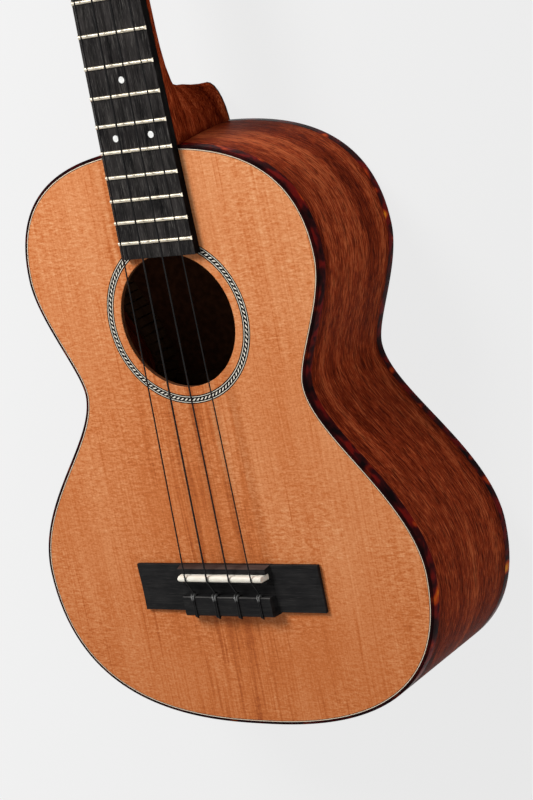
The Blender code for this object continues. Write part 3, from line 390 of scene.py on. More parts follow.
# %% Black wood
def black_wood_finish(name, along_x, dark, light, scratches, shine=0.05):
    wood = Finish(name, Specular_IOR_Level=shine)
    x, y, z = wood.place()
    along, across = (x, y) if along_x else (y, x)
    streak = wood.noise((along * 26, across * 800, z * 700), 3, 0.65)
    wear = wood.noise((along * 70, across * 180, z * 100), 3)
    pores = wood.noise((along * 260, across * 3200, z * 900), 1)
    hair = wood.noise((along * 130, across * 2400, z * 900), 3, 0.7)
    tone = 0.5 + (streak - 0.5) * 1.2 + (wear - 0.5) * 1.3
    paint = wood.ramp(tone, (0.2, dark), (0.8, light))
    glint = wood.step(hair, 0.52, 0.72) * scratches
    wood.feed("Base Color", wood.blend(glint, paint, (120, 117, 112)))
    wood.feed("Roughness", 0.38 + wear * 0.18)
    wood.bump(streak * 0.5 + pores * 0.5, 0.00008, 0.6)
    return wood.material


board_black = black_wood_finish("fingerboard black", False, (13, 12, 13), (48, 45, 44), 0.45)
bridge_black = black_wood_finish("bridge black", True, (19, 19, 20), (37, 36, 36), 0.09)
# A darker copy of the board's black, as painted shade on its sides.
board_side_black_painted_shade = black_wood_finish("board edge black with painted shade", False, (7, 6, 6), (20, 18, 17), 0.05, 0.01)
# Painted highlight on the tie block's worn edge, and a painted reflection of the cedar on the front wall.
worn_black_with_painted_highlight = black_wood_finish("worn edge black with painted highlight", True, (48, 47, 46), (84, 82, 80), 0.3)
black_with_painted_cedar_reflection = black_wood_finish("black with painted cedar reflection", True, (50, 40, 38), (76, 64, 60), 0.1)
facing_black = black_wood_finish("facing black", False, (18, 17, 18), (42, 39, 39), 0.1)
print("black woods done")


# %% [markdown]
# ## Inner wood, bone, lines and nylon
#
# Blocks, braces and linings are plain unfinished wood, painted darker as shade for the dim inside of
# the body. Nut and saddle are bone, slightly cloudy, and the same cloudiness suits the lines of the edge
# and the pearl dots in their own colours. The strings are smooth black nylon, with a painted grey
# highlight on the knots at the bridge.

# %% Inner wood, bone, lines, pearl and nylon
TIE_EDGE_Y = -0.0102


def inner_finish():
    wood = Finish("inner wood with painted shade", Roughness=0.75, Specular_IOR_Level=0.1)
    x, y, z = wood.place()
    grain = wood.noise((x * 90, y * 60, z * 300), 3, 0.6)
    # Painted shade: the colours are darker than bare wood, to stand for the dim inside of the body.
    wood.feed("Base Color", wood.ramp(grain, (0.25, (66, 42, 26)), (0.75, (104, 74, 48))))
    wood.bump(grain, 0.0001, 0.5)
    return wood.material


def bone_finish(name, dark, light, rough):
    bone = Finish(name, Specular_IOR_Level=0.15)
    x, y, z = bone.place()
    cloud = bone.noise((x * 260, y * 700, z * 700), 3)
    bone.feed("Base Color", bone.ramp(cloud, (0.3, dark), (0.7, light)))
    bone.feed("Roughness", rough - 0.05 + cloud * 0.1)
    return bone.material


def nylon_finish():
    nylon = Finish("black nylon", Roughness=0.13, Specular_IOR_Level=0.13)
    x, y, z = nylon.place()
    haze = nylon.noise((x * 900, y * 120, z * 900), 2)
    paint = nylon.ramp(haze, (0.3, (9, 9, 10)), (0.7, (20, 19, 19)))
    # Painted highlight: the knots by the bridge are lightened to grey as a glint.
    knots = (BODY @ Vector((0, TIE_EDGE_Y, 0.007))).y
    painted_knot_glint = 1 - nylon.step(abs(y - knots), 0.0004, 0.0020)
    nylon.feed("Base Color", nylon.blend(painted_knot_glint * 0.36, paint, (176, 176, 174)))
    return nylon.material


inner_wood = inner_finish()
bone = bone_finish("bone", (236, 229, 212), (250, 245, 232), 0.36)
line_white = bone_finish("white line", (255, 222, 190), (255, 238, 214), 0.4)
pearl = bone_finish("pearl", (226, 226, 222), (250, 250, 248), 0.2)
line_black = bone_finish("black line", (14, 13, 13), (24, 22, 22), 0.5)
nylon = nylon_finish()
print("small finishes done")


# %% [markdown]
# ## Metals
#
# Frets are nickel silver, slightly warm and polished along their length; the tuners are nickel plated
# with brass-coloured gears. Fine noises vary the roughness, as polishing does.

# %% Metals
def metal_finish(name, dark, light, rough, stretch):
    metal = Finish(name, Metallic=1.0)
    x, y, z = metal.place()
    polish = metal.noise((x * stretch[0], y * stretch[1], z * stretch[2]), 3, 0.6)
    cloud = metal.noise((x * 120, y * 120, z * 120), 2)
    metal.feed("Base Color", metal.ramp(cloud, (0.3, dark), (0.7, light)))
    metal.feed("Roughness", rough - 0.06 + polish * 0.12)
    metal.bump(polish, 0.00002, 0.4)
    return metal.material


fret_metal = metal_finish("fret metal", (198, 188, 168), (222, 212, 192), 0.28, (60, 1500, 1500))
nickel = metal_finish("nickel plate", (196, 196, 196), (220, 219, 216), 0.20, (700, 700, 700))
brass = metal_finish("gear brass", (190, 150, 84), (214, 178, 110), 0.28, (900, 900, 900))
print("metals done")

# %% [markdown]
# ## Rosette
#
# The ring round the sound hole is a sandwich of thin black and white lines with a twisted black and
# white cord in the middle. Radius and angle from the hole's centre are enough to draw it: bands by
# their distance from the ring's inner edge in millimetres, and for the cord slanted stripes that lean
# as they go outwards.

# %% Rosette finish
HOLE_Y = 0.1304
RING = (0.0379, 0.0420)
CORD_STRIPES = 105
hole_centre = BODY @ Vector((0, HOLE_Y, 0))


def rosette_finish():
    ring = Finish("rosette", Roughness=0.4, Specular_IOR_Level=0.05)
    x, y, _ = ring.place()
    y = (y - hole_centre.y) / math.cos(math.atan(SLOPE))
    radius = (x * x + y * y) ** 0.5
    angle = y.maths("ARCTAN2", x)
    depth = (radius - RING[0]) * 1000
    turn = angle * (CORD_STRIPES / (2 * math.pi)) + depth * 0.5
    wave = turn.maths("FRACT") - 0.5
    cord = ring.step(abs(wave), 0.25, 0.33)

    def band(start, end, soft):
        return ring.step(depth, start, start + soft) * (1 - ring.step(depth, end - soft, end))

    mask = band(1.46, 2.64, 0.08) * cord + band(0.50, 0.84, 0.06) + band(3.26, 3.60, 0.06)
    ring.feed("Base Color", ring.blend(mask, (10, 9, 9), (244, 236, 220)))
    return ring.material


rosette_mix = rosette_finish()
print("rosette finish done")

# %% [markdown]
# ## Making pieces
#
# Each new piece starts as a bmesh in the soundboard's frame. One helper turns it into an object whose
# place is in its mesh, gives it its finish, hides the measured pieces it stands for, and hangs it on the
# body it rides on. Where a measured shape is already full, a copy with joined vertices, eased edges and
# smooth shading is the better choice.

# %% From a bmesh to a finished piece
def add_object(name, data):
    added = bpy.data.objects.new(name, data)
    bpy.context.scene.collection.objects.link(added)
    return added


def finish_piece(name, bm, materials, slot, stands_for=(), body="instrument", frame_of=BODY, sharp=35):
    bmesh.ops.remove_doubles(bm, verts=bm.verts, dist=1e-7)
    bmesh.ops.recalc_face_normals(bm, faces=bm.faces)
    name = name.replace(" ", "_")
    mesh = bpy.data.meshes.new(name)
    bm.to_mesh(mesh)
    bm.free()
    mesh.transform(frame_of)
    mesh.shade_smooth()
    mesh.set_sharp_from_angle(angle=math.radians(sharp))
    for material in materials:
        mesh.materials.append(material)
    piece = add_object(name, mesh)
    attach(piece, body)
    if stands_for:
        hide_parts(*stands_for)
    return piece


def measured_mesh(node):
    """A measured piece's mesh, with its doubled vertices joined and its flat faces made whole."""
    bm = bmesh.new()
    bm.from_mesh(nodes[node].data)
    bm.transform(nodes[node].matrix_world)
    bmesh.ops.remove_doubles(bm, verts=bm.verts, dist=2e-6)
    bmesh.ops.dissolve_limit(bm, angle_limit=math.radians(0.5), verts=bm.verts, edges=bm.edges)
    return bm


def ease_edges(piece, width, segments=3):
    ease = piece.modifiers.new("ease", "BEVEL")
    ease.width = width
    ease.segments = segments
    ease.limit_method = "ANGLE"
    ease.angle_limit = math.radians(40)


def smooth_copy(node, material, slot, bevel=0.0, sharp=35):
    """A copy of a measured piece with shared vertices, eased edges and smooth shading."""
    bm = measured_mesh(node)
    piece = finish_piece(node + "_finished", bm, [material], slot, (node,), frame_of=Matrix(), sharp=sharp)
    if bevel:
        ease_edges(piece, bevel, 2)


def add_rows(bm, rows, place):
    """A solid through rows of points, closed at both ends."""
    rings = [[bm.verts.new(place @ Vector(point)) for point in row] for row in rows]
    for before, after in zip(rings, rings[1:]):
        for i in range(len(before)):
            bm.faces.new((before[i - 1], before[i], after[i], after[i - 1]))
    bm.faces.new(rings[0])
    bm.faces.new(rings[-1])


print("piece helpers ready")

# %% [markdown]
# ## The body's outline
#
# Half the outline is four Bezier curves, from the tail to the neck by way of the lower bout, the waist
# and the upper bout. Every line of the edge is this curve moved inwards, so one function gives it as a
# closed loop of vertices in a bmesh, and bridging two such loops makes a wall, a ledge or a line.

# %% Outline
CORNERS = ((0, TAIL_Y), (0.1153, -0.0005), (0.0667, 0.0952), (0.0868, 0.156), (0, 0.2161))
HANDLES = (
    ((0.031, 0), (0, -0.080)),
    ((0, 0.039), (0, -0.0248)),
    ((0, 0.0127), (0, -0.021)),
    ((0, 0.050), (0.0423, 0)),
)
STEPS = (40, 36, 28, 36)


def half_outline():
    points = []
    for start, end, (leave, arrive), steps in zip(CORNERS, CORNERS[1:], HANDLES, STEPS):
        start, end = Vector((*start, 0)), Vector((*end, 0))
        knots = (start, start + Vector((*leave, 0)), end + Vector((*arrive, 0)), end)
        points += interpolate_bezier(*knots, steps + 1)[:-1]
    return [*points, Vector((*CORNERS[-1], 0))]


HALF = half_outline()
NORMALS = []
for number in range(len(HALF)):
    step = HALF[min(number + 1, len(HALF) - 1)] - HALF[max(number - 1, 0)]
    NORMALS.append(Vector((-step.y, step.x, 0)).normalized())
NORMALS[0], NORMALS[-1] = Vector((0, 1, 0)), Vector((0, -1, 0))
RUN = [0.0]
for before, after in zip(HALF, HALF[1:]):
    RUN.append(RUN[-1] + (after - before).length)
print(f"half outline: {len(HALF)} points, {RUN[-1] * 1000:.1f} mm long")


# %% Loops on the outline
def flat(height):
    return lambda y: height


def over_back(height):
    return lambda y: back_height(y, height)


def outline_loop(bm, inset, level):
    """A closed loop of vertices on the outline moved inwards, at a level that may depend on y. Each
    vertex remembers how far along the outline it stands, and how far down towards the back."""
    run = bm.verts.layers.float.get("run") or bm.verts.layers.float.new("run")
    fall = bm.verts.layers.float.get("fall") or bm.verts.layers.float.new("fall")
    right = [(point + normal * inset, length) for point, normal, length in zip(HALF, NORMALS, RUN)]
    left = [(Vector((-point.x, point.y, 0)), -length) for point, length in reversed(right[1:-1])]
    verts = []
    for point, length in right + left:
        vert = bm.verts.new((point.x, point.y, level(point.y)))
        vert[run] = length
        vert[fall] = level(point.y) / back_height(point.y)
        verts.append(vert)
    return [bm.edges.new(pair) for pair in zip(verts, verts[1:] + verts[:1])]


def circle_loop(bm, radius, height, steps=96):
    made = bmesh.ops.create_circle(bm, segments=steps, radius=radius)
    bmesh.ops.translate(bm, verts=made["verts"], vec=(0, HOLE_Y, height))
    ring = set(made["verts"])
    return [edge for edge in bm.edges if ring.issuperset(edge.verts)]


def bridge(bm, *loops):
    """Faces between each loop and the next. The next one is lifted for a moment, because loops that
    lie in one plane give the operator no direction to pair their vertices by."""
    for first, second in zip(loops, loops[1:]):
        lifted = list({vert for edge in second for vert in edge.verts})
        bmesh.ops.translate(bm, verts=lifted, vec=(0, 0, 0.1))
        bmesh.ops.bridge_loops(bm, edges=first + second)
        bmesh.ops.translate(bm, verts=lifted, vec=(0, 0, -0.1))


def edge_ring(name, section, material, slot, stands_for=()):
    """A ring round the whole body from a closed section of (inset, level) corners."""
    bm = bmesh.new()
    loops = [outline_loop(bm, inset, level) for inset, level in section]
    bridge(bm, *loops, loops[0])
    return finish_piece(name, bm, [material], slot, stands_for)


# %% [markdown]
# ## Soundboard, back and sides
#
# The soundboard is a flat plate with a round hole, a shallow channel for the rosette and a step round
# its edge for the lines. Flat faces with holes are filled by a triangle fill between their boundary
# loops. The sides are one bent wall, rebated along both edges for the bindings.

# %% Soundboard and back
PLATE = 0.0025
PLATE_INSET = 0.0015
LINES_INSET = 0.0022
STEP_DEPTH = 0.0013
CHANNEL = (RING[0] - 0.00005, RING[1] + 0.00005)
HOLE_RADIUS = 0.0335


# Painted shade: a dark brown for the sound hole's wall, the inside of the back and the posts' string holes.
def shade_brown_finish():
    shade_brown = Finish("brown with painted shade", Specular_IOR_Level=0.05, Roughness=0.7)
    x, y, z = shade_brown.place()
    shade_mottle = shade_brown.noise((x * 300, y * 300, z * 900), 2)
    shade_brown.feed("Base Color", shade_brown.ramp(shade_mottle, (0.3, (78, 45, 28)), (0.7, (112, 70, 45))))
    return shade_brown.material


painted_shade_brown = shade_brown_finish()


def make_soundboard():
    bm = bmesh.new()
    edge = ((LINES_INSET, 0), (LINES_INSET, -STEP_DEPTH), (PLATE_INSET, -STEP_DEPTH), (PLATE_INSET, -PLATE))
    loops = [outline_loop(bm, inset, flat(height)) for inset, height in edge]
    inner, outer = CHANNEL
    channel = ((outer, 0), (outer, -STEP_DEPTH), (inner, -STEP_DEPTH), (inner, 0))
    hole = ((HOLE_RADIUS + 0.0002, 0), (HOLE_RADIUS, -0.0002), (HOLE_RADIUS, -PLATE))
    rings = [circle_loop(bm, radius, height) for radius, height in channel + hole]
    bridge(bm, *loops)
    bridge(bm, *rings)
    bmesh.ops.triangle_fill(bm, use_beauty=True, edges=loops[0] + rings[0])
    bmesh.ops.triangle_fill(bm, use_beauty=True, edges=loops[-1] + rings[-1])
    # Painted shade: the hole's wall and the faces under the plate take the dark brown.
    for face in bm.faces:
        if face.calc_center_median().z < -0.0005:
            face.material_index = 1
    return finish_piece("soundboard finished", bm, [cedar, painted_shade_brown], "cedar_top", ("soundboard",))


def make_back():
    bm = bmesh.new()
    outside = outline_loop(bm, PLATE_INSET, over_back(0))
    inside = outline_loop(bm, PLATE_INSET, over_back(PLATE))
    bridge(bm, outside, inside)
    for loop in (outside, inside):
        bmesh.ops.triangle_fill(bm, use_beauty=True, edges=loop)
    # Painted shade: the inside face of the back takes the dark brown.
    for face in bm.faces:
        height = face.calc_center_median()
        if height.z > back_height(height.y, 0.0020):
            face.material_index = 1
    return finish_piece("back finished", bm, [back_wood, painted_shade_brown], "mahogany", ("back",))


soundboard = make_soundboard()
back = make_back()
print("plates:", len(soundboard.data.polygons), "and", len(back.data.polygons), "faces")

# %% Sides
WALL = 0.0023
UNDER_PLATE = 0.0028
TOP_REBATE = 0.0061
BACK_REBATE = 0.0051
side_section = (
    (PLATE_INSET, flat(-UNDER_PLATE)),
    (PLATE_INSET, flat(-TOP_REBATE)),
    (0.0, flat(-TOP_REBATE)),
    (0.0, over_back(BACK_REBATE)),
    (PLATE_INSET, over_back(BACK_REBATE)),
    (PLATE_INSET, over_back(UNDER_PLATE)),
    (WALL, over_back(UNDER_PLATE)),
    (WALL, flat(-UNDER_PLATE)),
)
sides = edge_ring("sides finished", side_section, side_wood, "mahogany", ("side_left", "side_right"))
print("sides:", len(sides.data.polygons), "faces")

# %% [markdown]
# ## Binding and lines
#
# The bindings protect the corners. Their outer corner is eased with a small radius, which catches a
# thin highlight. Inside the top binding run a black, a white and a black line, the black ones sunk a
# hair below the white. The rosette is one ring in its channel round the hole.

# %% Bindings
EASED = 0.0006
EASED_STEPS = 4


def make_binding(node, width, depth, level):
    """A strip along a corner of the body, from the corner's face down to a depth."""
    section = [(width, level(0))]
    for number in range(EASED_STEPS + 1):
        angle = math.pi / 2 * number / EASED_STEPS
        section.append((EASED - EASED * math.sin(angle), level(EASED - EASED * math.cos(angle))))
    section += [(0.0, level(depth)), (width, level(depth))]
    edge_ring(node + " finished", section, tortoise, "tortoiseshell", (node,))


make_binding("top_binding", 0.00122, 0.0060, lambda drop: flat(-drop))
make_binding("back_binding", 0.00145, 0.0050, over_back)
print("bindings done")


# %% Lines
LINE_FLOOR = -0.0010
SUNK = -0.00002


def square_line(outer, inner, top):
    return ((outer, flat(top)), (outer, flat(LINE_FLOOR)), (inner, flat(LINE_FLOOR)), (inner, flat(top)))


edge_ring("white line", square_line(0.00162, 0.00190, 0.0), line_white, "white_line", ("purfling",))
edge_ring("outer black line", square_line(0.00124, 0.00161, SUNK), line_black, "black_wood")
edge_ring("inner black line", square_line(0.00191, 0.00219, SUNK), line_black, "black_wood")
print("lines done")


# %% Rosette ring
def make_rosette():
    bm = bmesh.new()
    corners = ((RING[0], LINE_FLOOR), (RING[0], 0.0), (RING[1], 0.0), (RING[1], LINE_FLOOR))
    loops = [circle_loop(bm, radius, height, 128) for radius, height in corners]
    bridge(bm, *loops, loops[0])
    finish_piece("rosette finished", bm, [rosette_mix], "white_line", ("rosette",))


make_rosette()
print("rosette done")

# %% [markdown]
# ## Inside the body
#
# Through the hole one sees the kerfed linings: strips of light wood sawn nearly through every few
# millimetres so that they bend, and glued along the corners. Each tooth is one small wedge, repeated
# along the outline, on a thin web.

# %% Kerfed linings
TOOTH_PITCH = 0.0048
SAW_CUT = 0.0009
TOOTH_BACK = 0.0029
TOOTH_FOOT = 0.0080
TOOTH_TIP = 0.0042
LINING_TIP = 0.0158
WEB = (0.0026, 0.0034)
TAIL_BLOCK_END = 0.060
NECK_BLOCK_END = 0.040


def lining_places():
    """Evenly spaced places along half the outline, between the blocks: point and inward normal."""
    places = []
    length = TAIL_BLOCK_END
    while length < RUN[-1] - NECK_BLOCK_END:
        index = next(i for i, run in enumerate(RUN) if run >= length)
        part = (length - RUN[index - 1]) / (RUN[index] - RUN[index - 1])
        places.append((HALF[index - 1].lerp(HALF[index], part), NORMALS[index]))
        length += TOOTH_PITCH
    return places


def make_lining(node, side, foot, tip):
    """Teeth on a thin web, from the foot at the plate to the tips on the side."""
    bm = bmesh.new()
    places = lining_places()
    for point, normal in places:
        made = bmesh.ops.create_cube(bm, size=1.0)
        along = Vector((normal.y, -normal.x, 0))
        for vert in made["verts"]:
            at_foot = vert.co.z > 0
            reach = TOOTH_BACK if vert.co.x < 0 else (TOOTH_FOOT if at_foot else TOOTH_TIP)
            place = point + normal * reach + along * (vert.co.y * (TOOTH_PITCH - SAW_CUT))
            place.x *= side
            vert.co = (place.x, place.y, foot(place.y) if at_foot else tip(place.y))
    web = []
    for point, normal in places:
        near = point + normal * WEB[0]
        far = point + normal * WEB[1]
        corners = ((near, foot), (far, foot), (far, tip), (near, tip))
        web.append([(side * corner.x, corner.y, level(corner.y)) for corner, level in corners])
    add_rows(bm, web, Matrix())
    finish_piece(node + " finished", bm, [inner_wood], "inner_wood", (node,), sharp=20)


for side_name, side in (("left", -1), ("right", 1)):
    make_lining(f"lining_top_{side_name}", side, flat(-UNDER_PLATE), flat(-LINING_TIP))
    make_lining(f"lining_back_{side_name}", side, over_back(UNDER_PLATE), over_back(LINING_TIP))
print("linings:", len(lining_places()), "teeth each")

# %% Blocks, braces and bridge plate
INNER = ("neck_block", "tail_block", "bridge_plate", "fan_brace_left", "fan_brace_right")
INNER += ("soundboard_brace_upper", "soundboard_brace_lower", "back_brace_upper", "back_brace_lower")
for node in INNER:
    smooth_copy(node, inner_wood, "inner_wood", bevel=0.0004)
print("inside done")

# %% [markdown]
# ## Neck, heel and headstock
#
# The neck and the heel's cap were lofted at full detail in the measured model, so smooth copies are
# enough. The visible fingerboard is a new board, since the frets cover its slots: a cube whose corners
# are moved to the neck's taper, with sides of a darker black than its face, as painted shade. The dots
# are low discs of pearl, each midway between two frets.

# %% Neck and fingerboard
BOARD_TOP = 0.0046
BOARD_END_Y = 0.16325
GLUE = 0.0001
smooth_copy("neck", shaded_neck_wood, "mahogany", sharp=32)
smooth_copy("heel_cap", facing_black, "black_wood", sharp=32)


def make_fingerboard():
    bm = bmesh.new()
    bmesh.ops.create_cube(bm, size=2.0)
    for vert in bm.verts:
        y = NUT_Y - GLUE if vert.co.y > 0 else BOARD_END_Y
        vert.co = (vert.co.x * neck_half_width(y), y, BOARD_TOP if vert.co.z > 0 else GLUE)
    # The board's sides take the darker black, as painted shade.
    for face in bm.faces:
        if abs(face.normal.z) < 0.5:
            face.material_index = 1
    blacks = [board_black, board_side_black_painted_shade]
    piece = finish_piece("fingerboard_finished", bm, blacks, "black_wood", ("fingerboard",))
    ease_edges(piece, 0.0003)


make_fingerboard()
smooth_copy("nut", bone, "bone", bevel=0.0002)
print("neck done")


# %% Position dots
DOT_THICK = 0.0004
DOT_FLOOR = BOARD_TOP - 0.00035


def make_dots():
    bm = bmesh.new()
    for number, places in ((5, (0,)), (7, (0,)), (10, (0,)), (12, (-0.0105, 0.0105))):
        middle = (fret_y(number) + fret_y(number - 1)) / 2
        for x in places:
            disc = bmesh.ops.create_circle(bm, cap_ends=True, segments=24, radius=0.00165)
            face = list({face for vert in disc["verts"] for face in vert.link_faces})
            raised = bmesh.ops.extrude_face_region(bm, geom=face)["geom"]
            tops = [item for item in raised if isinstance(item, bmesh.types.BMVert)]
            bmesh.ops.translate(bm, verts=tops, vec=(0, 0, DOT_THICK))
            bmesh.ops.translate(bm, verts=disc["verts"] + tops, vec=(x, middle, DOT_FLOOR))
    finish_piece("position dots", bm, [pearl], "bone")


make_dots()
print("dots done")

# %% [markdown]
# ## Frets
#
# A fret is a bar with a round crown pressed into its slot, its ends filed to a slope. A cylinder cut
# in half along its axis gives the crown, and the slope comes from pulling the upper vertices inwards.

# %% Frets
FRETS = 16
CROWN = 0.001


def make_fret(number):
    y = fret_y(number)
    reach = neck_half_width(y) + 0.0001
    bm = bmesh.new()
    round_bar = {"cap_ends": True, "segments": 24, "radius1": CROWN, "radius2": CROWN, "depth": 2 * reach}
    made = bmesh.ops.create_cone(bm, **round_bar)
    bmesh.ops.rotate(bm, verts=made["verts"], matrix=Matrix.Rotation(math.pi / 2, 3, "Y"))
    parts = bm.verts[:] + bm.edges[:] + bm.faces[:]
    level = {"plane_co": (0, 0, 0.0001), "plane_no": (0, 0, 1), "clear_inner": True}
    cut = bmesh.ops.bisect_plane(bm, geom=parts, **level)
    rim = [item for item in cut["geom_cut"] if isinstance(item, bmesh.types.BMEdge)]
    bmesh.ops.holes_fill(bm, edges=rim)
    for vert in bm.verts:
        vert.co.x -= math.copysign(max(0, vert.co.z - 0.0002) * 0.9, vert.co.x)
        vert.co.z = BOARD_TOP + vert.co.z - 0.00002
        vert.co.y += y
    finish_piece(f"fret wire {number}", bm, [fret_metal], "fret_metal", (f"fret_{number:02d}",))


for number in range(1, FRETS + 1):
    make_fret(number)
print(FRETS, "frets")

# %% [markdown]
# ## Bridge and saddle
#
# The bridge is a low plate with a raised middle: a steep front, the saddle in its slot, a channel
# where the strings dive, and the drilled tie block. Its measured shape is kept. The ends of the wings
# get their full height and a shallow scoop by a wide flat cone, whose rim draws a faint arc, and every
# edge is eased. The tie block's front edge is worn lighter where the knots pull against it, with a
# painted highlight there, and the front wall is black with a painted reflection of the cedar.

# %% Bridge
FRONT_WALL_Y = 0.0051
WING_X = 0.053
WING_RISE = 0.0014


def scoop_cones():
    """Two flat cones, point down, whose rims draw an arc across the ends of the bridge's wings."""
    bm = bmesh.new()
    flat_cone = {"cap_ends": True, "segments": 128, "radius1": 0.010, "radius2": 0.020, "depth": 0.0008}
    for side in (-1, 1):
        cone = bmesh.ops.create_cone(bm, **flat_cone)
        bmesh.ops.translate(bm, verts=cone["verts"], vec=(side * 0.0638, -0.0105, 0.0024))
    mesh = bpy.data.meshes.new("scoops")
    bm.to_mesh(mesh)
    bm.free()
    mesh.transform(BODY)
    return mesh


def make_bridge():
    bm = measured_mesh("bridge")
    bm.transform(BODY.inverted())
    for vert in bm.verts:
        if abs(vert.co.x) > WING_X and vert.co.z > 0.0005:
            vert.co.z += WING_RISE
    blacks = [bridge_black, worn_black_with_painted_highlight, black_with_painted_cedar_reflection]
    piece = finish_piece("bridge finished", bm, blacks, "black_wood", ("bridge",))
    scoops = add_object("scoops", scoop_cones())
    cut = piece.modifiers.new("scoop", "BOOLEAN")
    cut.object = scoops
    cut.solver = "EXACT"
    whole = bpy.context.evaluated_depsgraph_get()
    piece.data = bpy.data.meshes.new_from_object(piece.evaluated_get(whole))
    piece.modifiers.clear()
    bpy.data.objects.remove(scoops)
    piece.data.shade_flat()
    to_board = BODY.inverted()
    # Painted highlight on the tie block's front edge, and painted cedar reflection on the front wall.
    for face in piece.data.polygons:
        centre = to_board @ face.center
        if abs(centre.y - TIE_EDGE_Y) < 0.0003 and centre.z > 0.0064 and face.normal.z > 0.5:
            face.material_index = 1
        if abs(centre.y - FRONT_WALL_Y) < 0.0003 and centre.z > 0.0040 and face.normal.y > 0.9:
            face.material_index = 2
    ease_edges(piece, 0.00025)


make_bridge()
smooth_copy("saddle", bone, "bone", bevel=0.0009)
print("bridge and saddle done")

# %% [markdown]
# ## Strings
#
# A nylon string is a smooth round thread. Each one starts behind the tie block, wraps itself, passes
# through the block, bends over the saddle and the nut, and ends in a few turns on its post. It is one
# curve with a round bevel, through points that are first smoothed by short Beziers.

# %% Strings
DIAMETERS = (0.00075, 0.00095, 0.00085, 0.00070)
NAMES = ("g", "c", "e", "a")
POSTS = {"g": (-0.019, 0.042), "c": (-0.019, 0.100), "e": (0.019, 0.100), "a": (0.019, 0.042)}
SADDLE_SPACING = 0.0133
NUT_SPACING = 0.0090
POST_WAIST = 0.0026
TURNS = 3
TURN_STEPS = 32


def smooth_route(points, steps):
    points = [Vector(point) for point in points]
    padded = [points[0], *points, points[-1]]
    route = []
    for before, start, end, after in zip(padded, padded[1:], padded[2:], padded[3:]):
        knots = (start, start + (end - before) / 6, end - (after - start) / 6, end)
        route += interpolate_bezier(*knots, steps + 1)[:-1]
    return [*route, points[-1]]


def tie_points(x, r):
    """The knot at the bridge: over the block, round the string at its front, and back through."""
    over = 0.0070 + r
    behind = -0.0204 - r
    ahead = -0.0100 + r
    return [
        (x + 1.3 * r, behind - 0.0006, over - 0.0010),
        (x + 1.2 * r, behind + 0.0006, over),
        (x + 1.1 * r, -0.0155, over),
        (x + 1.1 * r, ahead - 0.0008, over + 0.0001),
        (x + 1.7 * r, ahead + 0.0005, over - 0.0007),
        (x + 1.6 * r, ahead + 0.0010, 0.0056),
        (x, ahead + 0.0013, 0.0050),
        (x - 1.7 * r, ahead + 0.0010, 0.0056),
        (x - 2.2 * r, ahead + 0.0005, over - 0.0007),
        (x - 1.4 * r, ahead - 0.0005, over + 0.8 * r),
        (x - 0.2 * r, ahead - 0.0020, over + 1.5 * r),
        (x - 0.7 * r, -0.0155, over + 0.2 * r),
        (x - 1.0 * r, behind + 0.0008, over),
        (x - 0.6 * r, behind, over - 0.0012),
        (x, behind, 0.0054),
        (x, behind + 0.0010, 0.0046),
    ]


def make_string(index):
    name = NAMES[index]
    r = DIAMETERS[index] / 2
    x = (index - 1.5) * SADDLE_SPACING
    nut_x = (index - 1.5) * NUT_SPACING
    route = smooth_route(tie_points(x, r), 6)
    route += [Vector((x, TIE_EDGE_Y, 0.0046))]
    route += [Vector((x, -0.0008, 0.0099 + r)), Vector((x, 0.0003, 0.0101 + r))]
    route += [Vector((nut_x, NUT_Y + 0.0006, 0.0060 + r)), Vector((nut_x, NUT_Y + 0.0042, 0.0057 + r))]
    post_x, post_up = POSTS[name]
    side = math.copysign(1, post_x)
    to_body = BODY.inverted() @ HEAD
    coil = POST_WAIST + r + 0.00008
    for number in range(TURNS * TURN_STEPS + 1):
        turn = number / TURN_STEPS
        angle = (math.pi if side > 0 else 0) - side * 2 * math.pi * turn
        place = (post_x + coil * math.cos(angle), post_up + coil * math.sin(angle), 0.0060 + 2.15 * r * turn)
        route.append(to_body @ Vector(place))
    curve = bpy.data.curves.new(f"string {name}", "CURVE")
    curve.dimensions = "3D"
    curve.bevel_depth = r
    curve.bevel_resolution = 4
    curve.use_fill_caps = True
    spline = curve.splines.new("POLY")
    spline.points.add(len(route) - 1)
    for point, place in zip(spline.points, route):
        point.co = (*(BODY @ place), 1)
    spline.use_smooth = True
    curve.materials.append(nylon)
    string = add_object(f"string_{name}_finished", curve)
    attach(string, "instrument")
    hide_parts(f"string_{name}")


for index in range(4):
    make_string(index)
print("four strings")

# %% [markdown]
# ## Headstock facing, ferrules and tuners
#
# The tuners are open worm-and-gear machines on the back of the headstock: a stamped plate with two
# ears, a shaft with a worm thread that ends in an oval grip, and a post whose gear of 14 teeth meshes
# with the worm. Shafts and posts are profiles spun round their axes; threads, gears and grips are rows
# of sections joined by faces. On the front a ferrule lines each post's hole.

# %% Spun solids
def add_spun(bm, profile, steps, place):
    """A profile of (radius, height) points spun round the z axis, then put in place."""
    old = set(bm.verts)
    verts = [bm.verts.new((radius, 0, height)) for radius, height in profile]
    edges = [bm.edges.new(pair) for pair in zip(verts, verts[1:])]
    turn = {"axis": (0, 0, 1), "cent": (0, 0, 0), "angle": 2 * math.pi, "steps": steps, "use_merge": True}
    bmesh.ops.spin(bm, geom=verts + edges, **turn)
    fresh = [vert for vert in bm.verts if vert not in old]
    bmesh.ops.transform(bm, matrix=place, verts=fresh)


print("spun solids ready")

# %% Sizes of the tuners
HEAD_BACK = -0.0123
FACE = 0.0018
PLATE_UNDER = HEAD_BACK - 0.0012
TEETH = 14
GEAR_RADIUS = 0.0045
GEAR_HALF = 0.0012
WORM_RADIUS = 0.00205
WORM_HEIGHT = PLATE_UNDER - 0.0029
WORM_OFFSET = 0.0071
WORM_PITCH = 2 * math.pi * GEAR_RADIUS / TEETH
print("worm pitch", round(WORM_PITCH * 1000, 3), "mm")


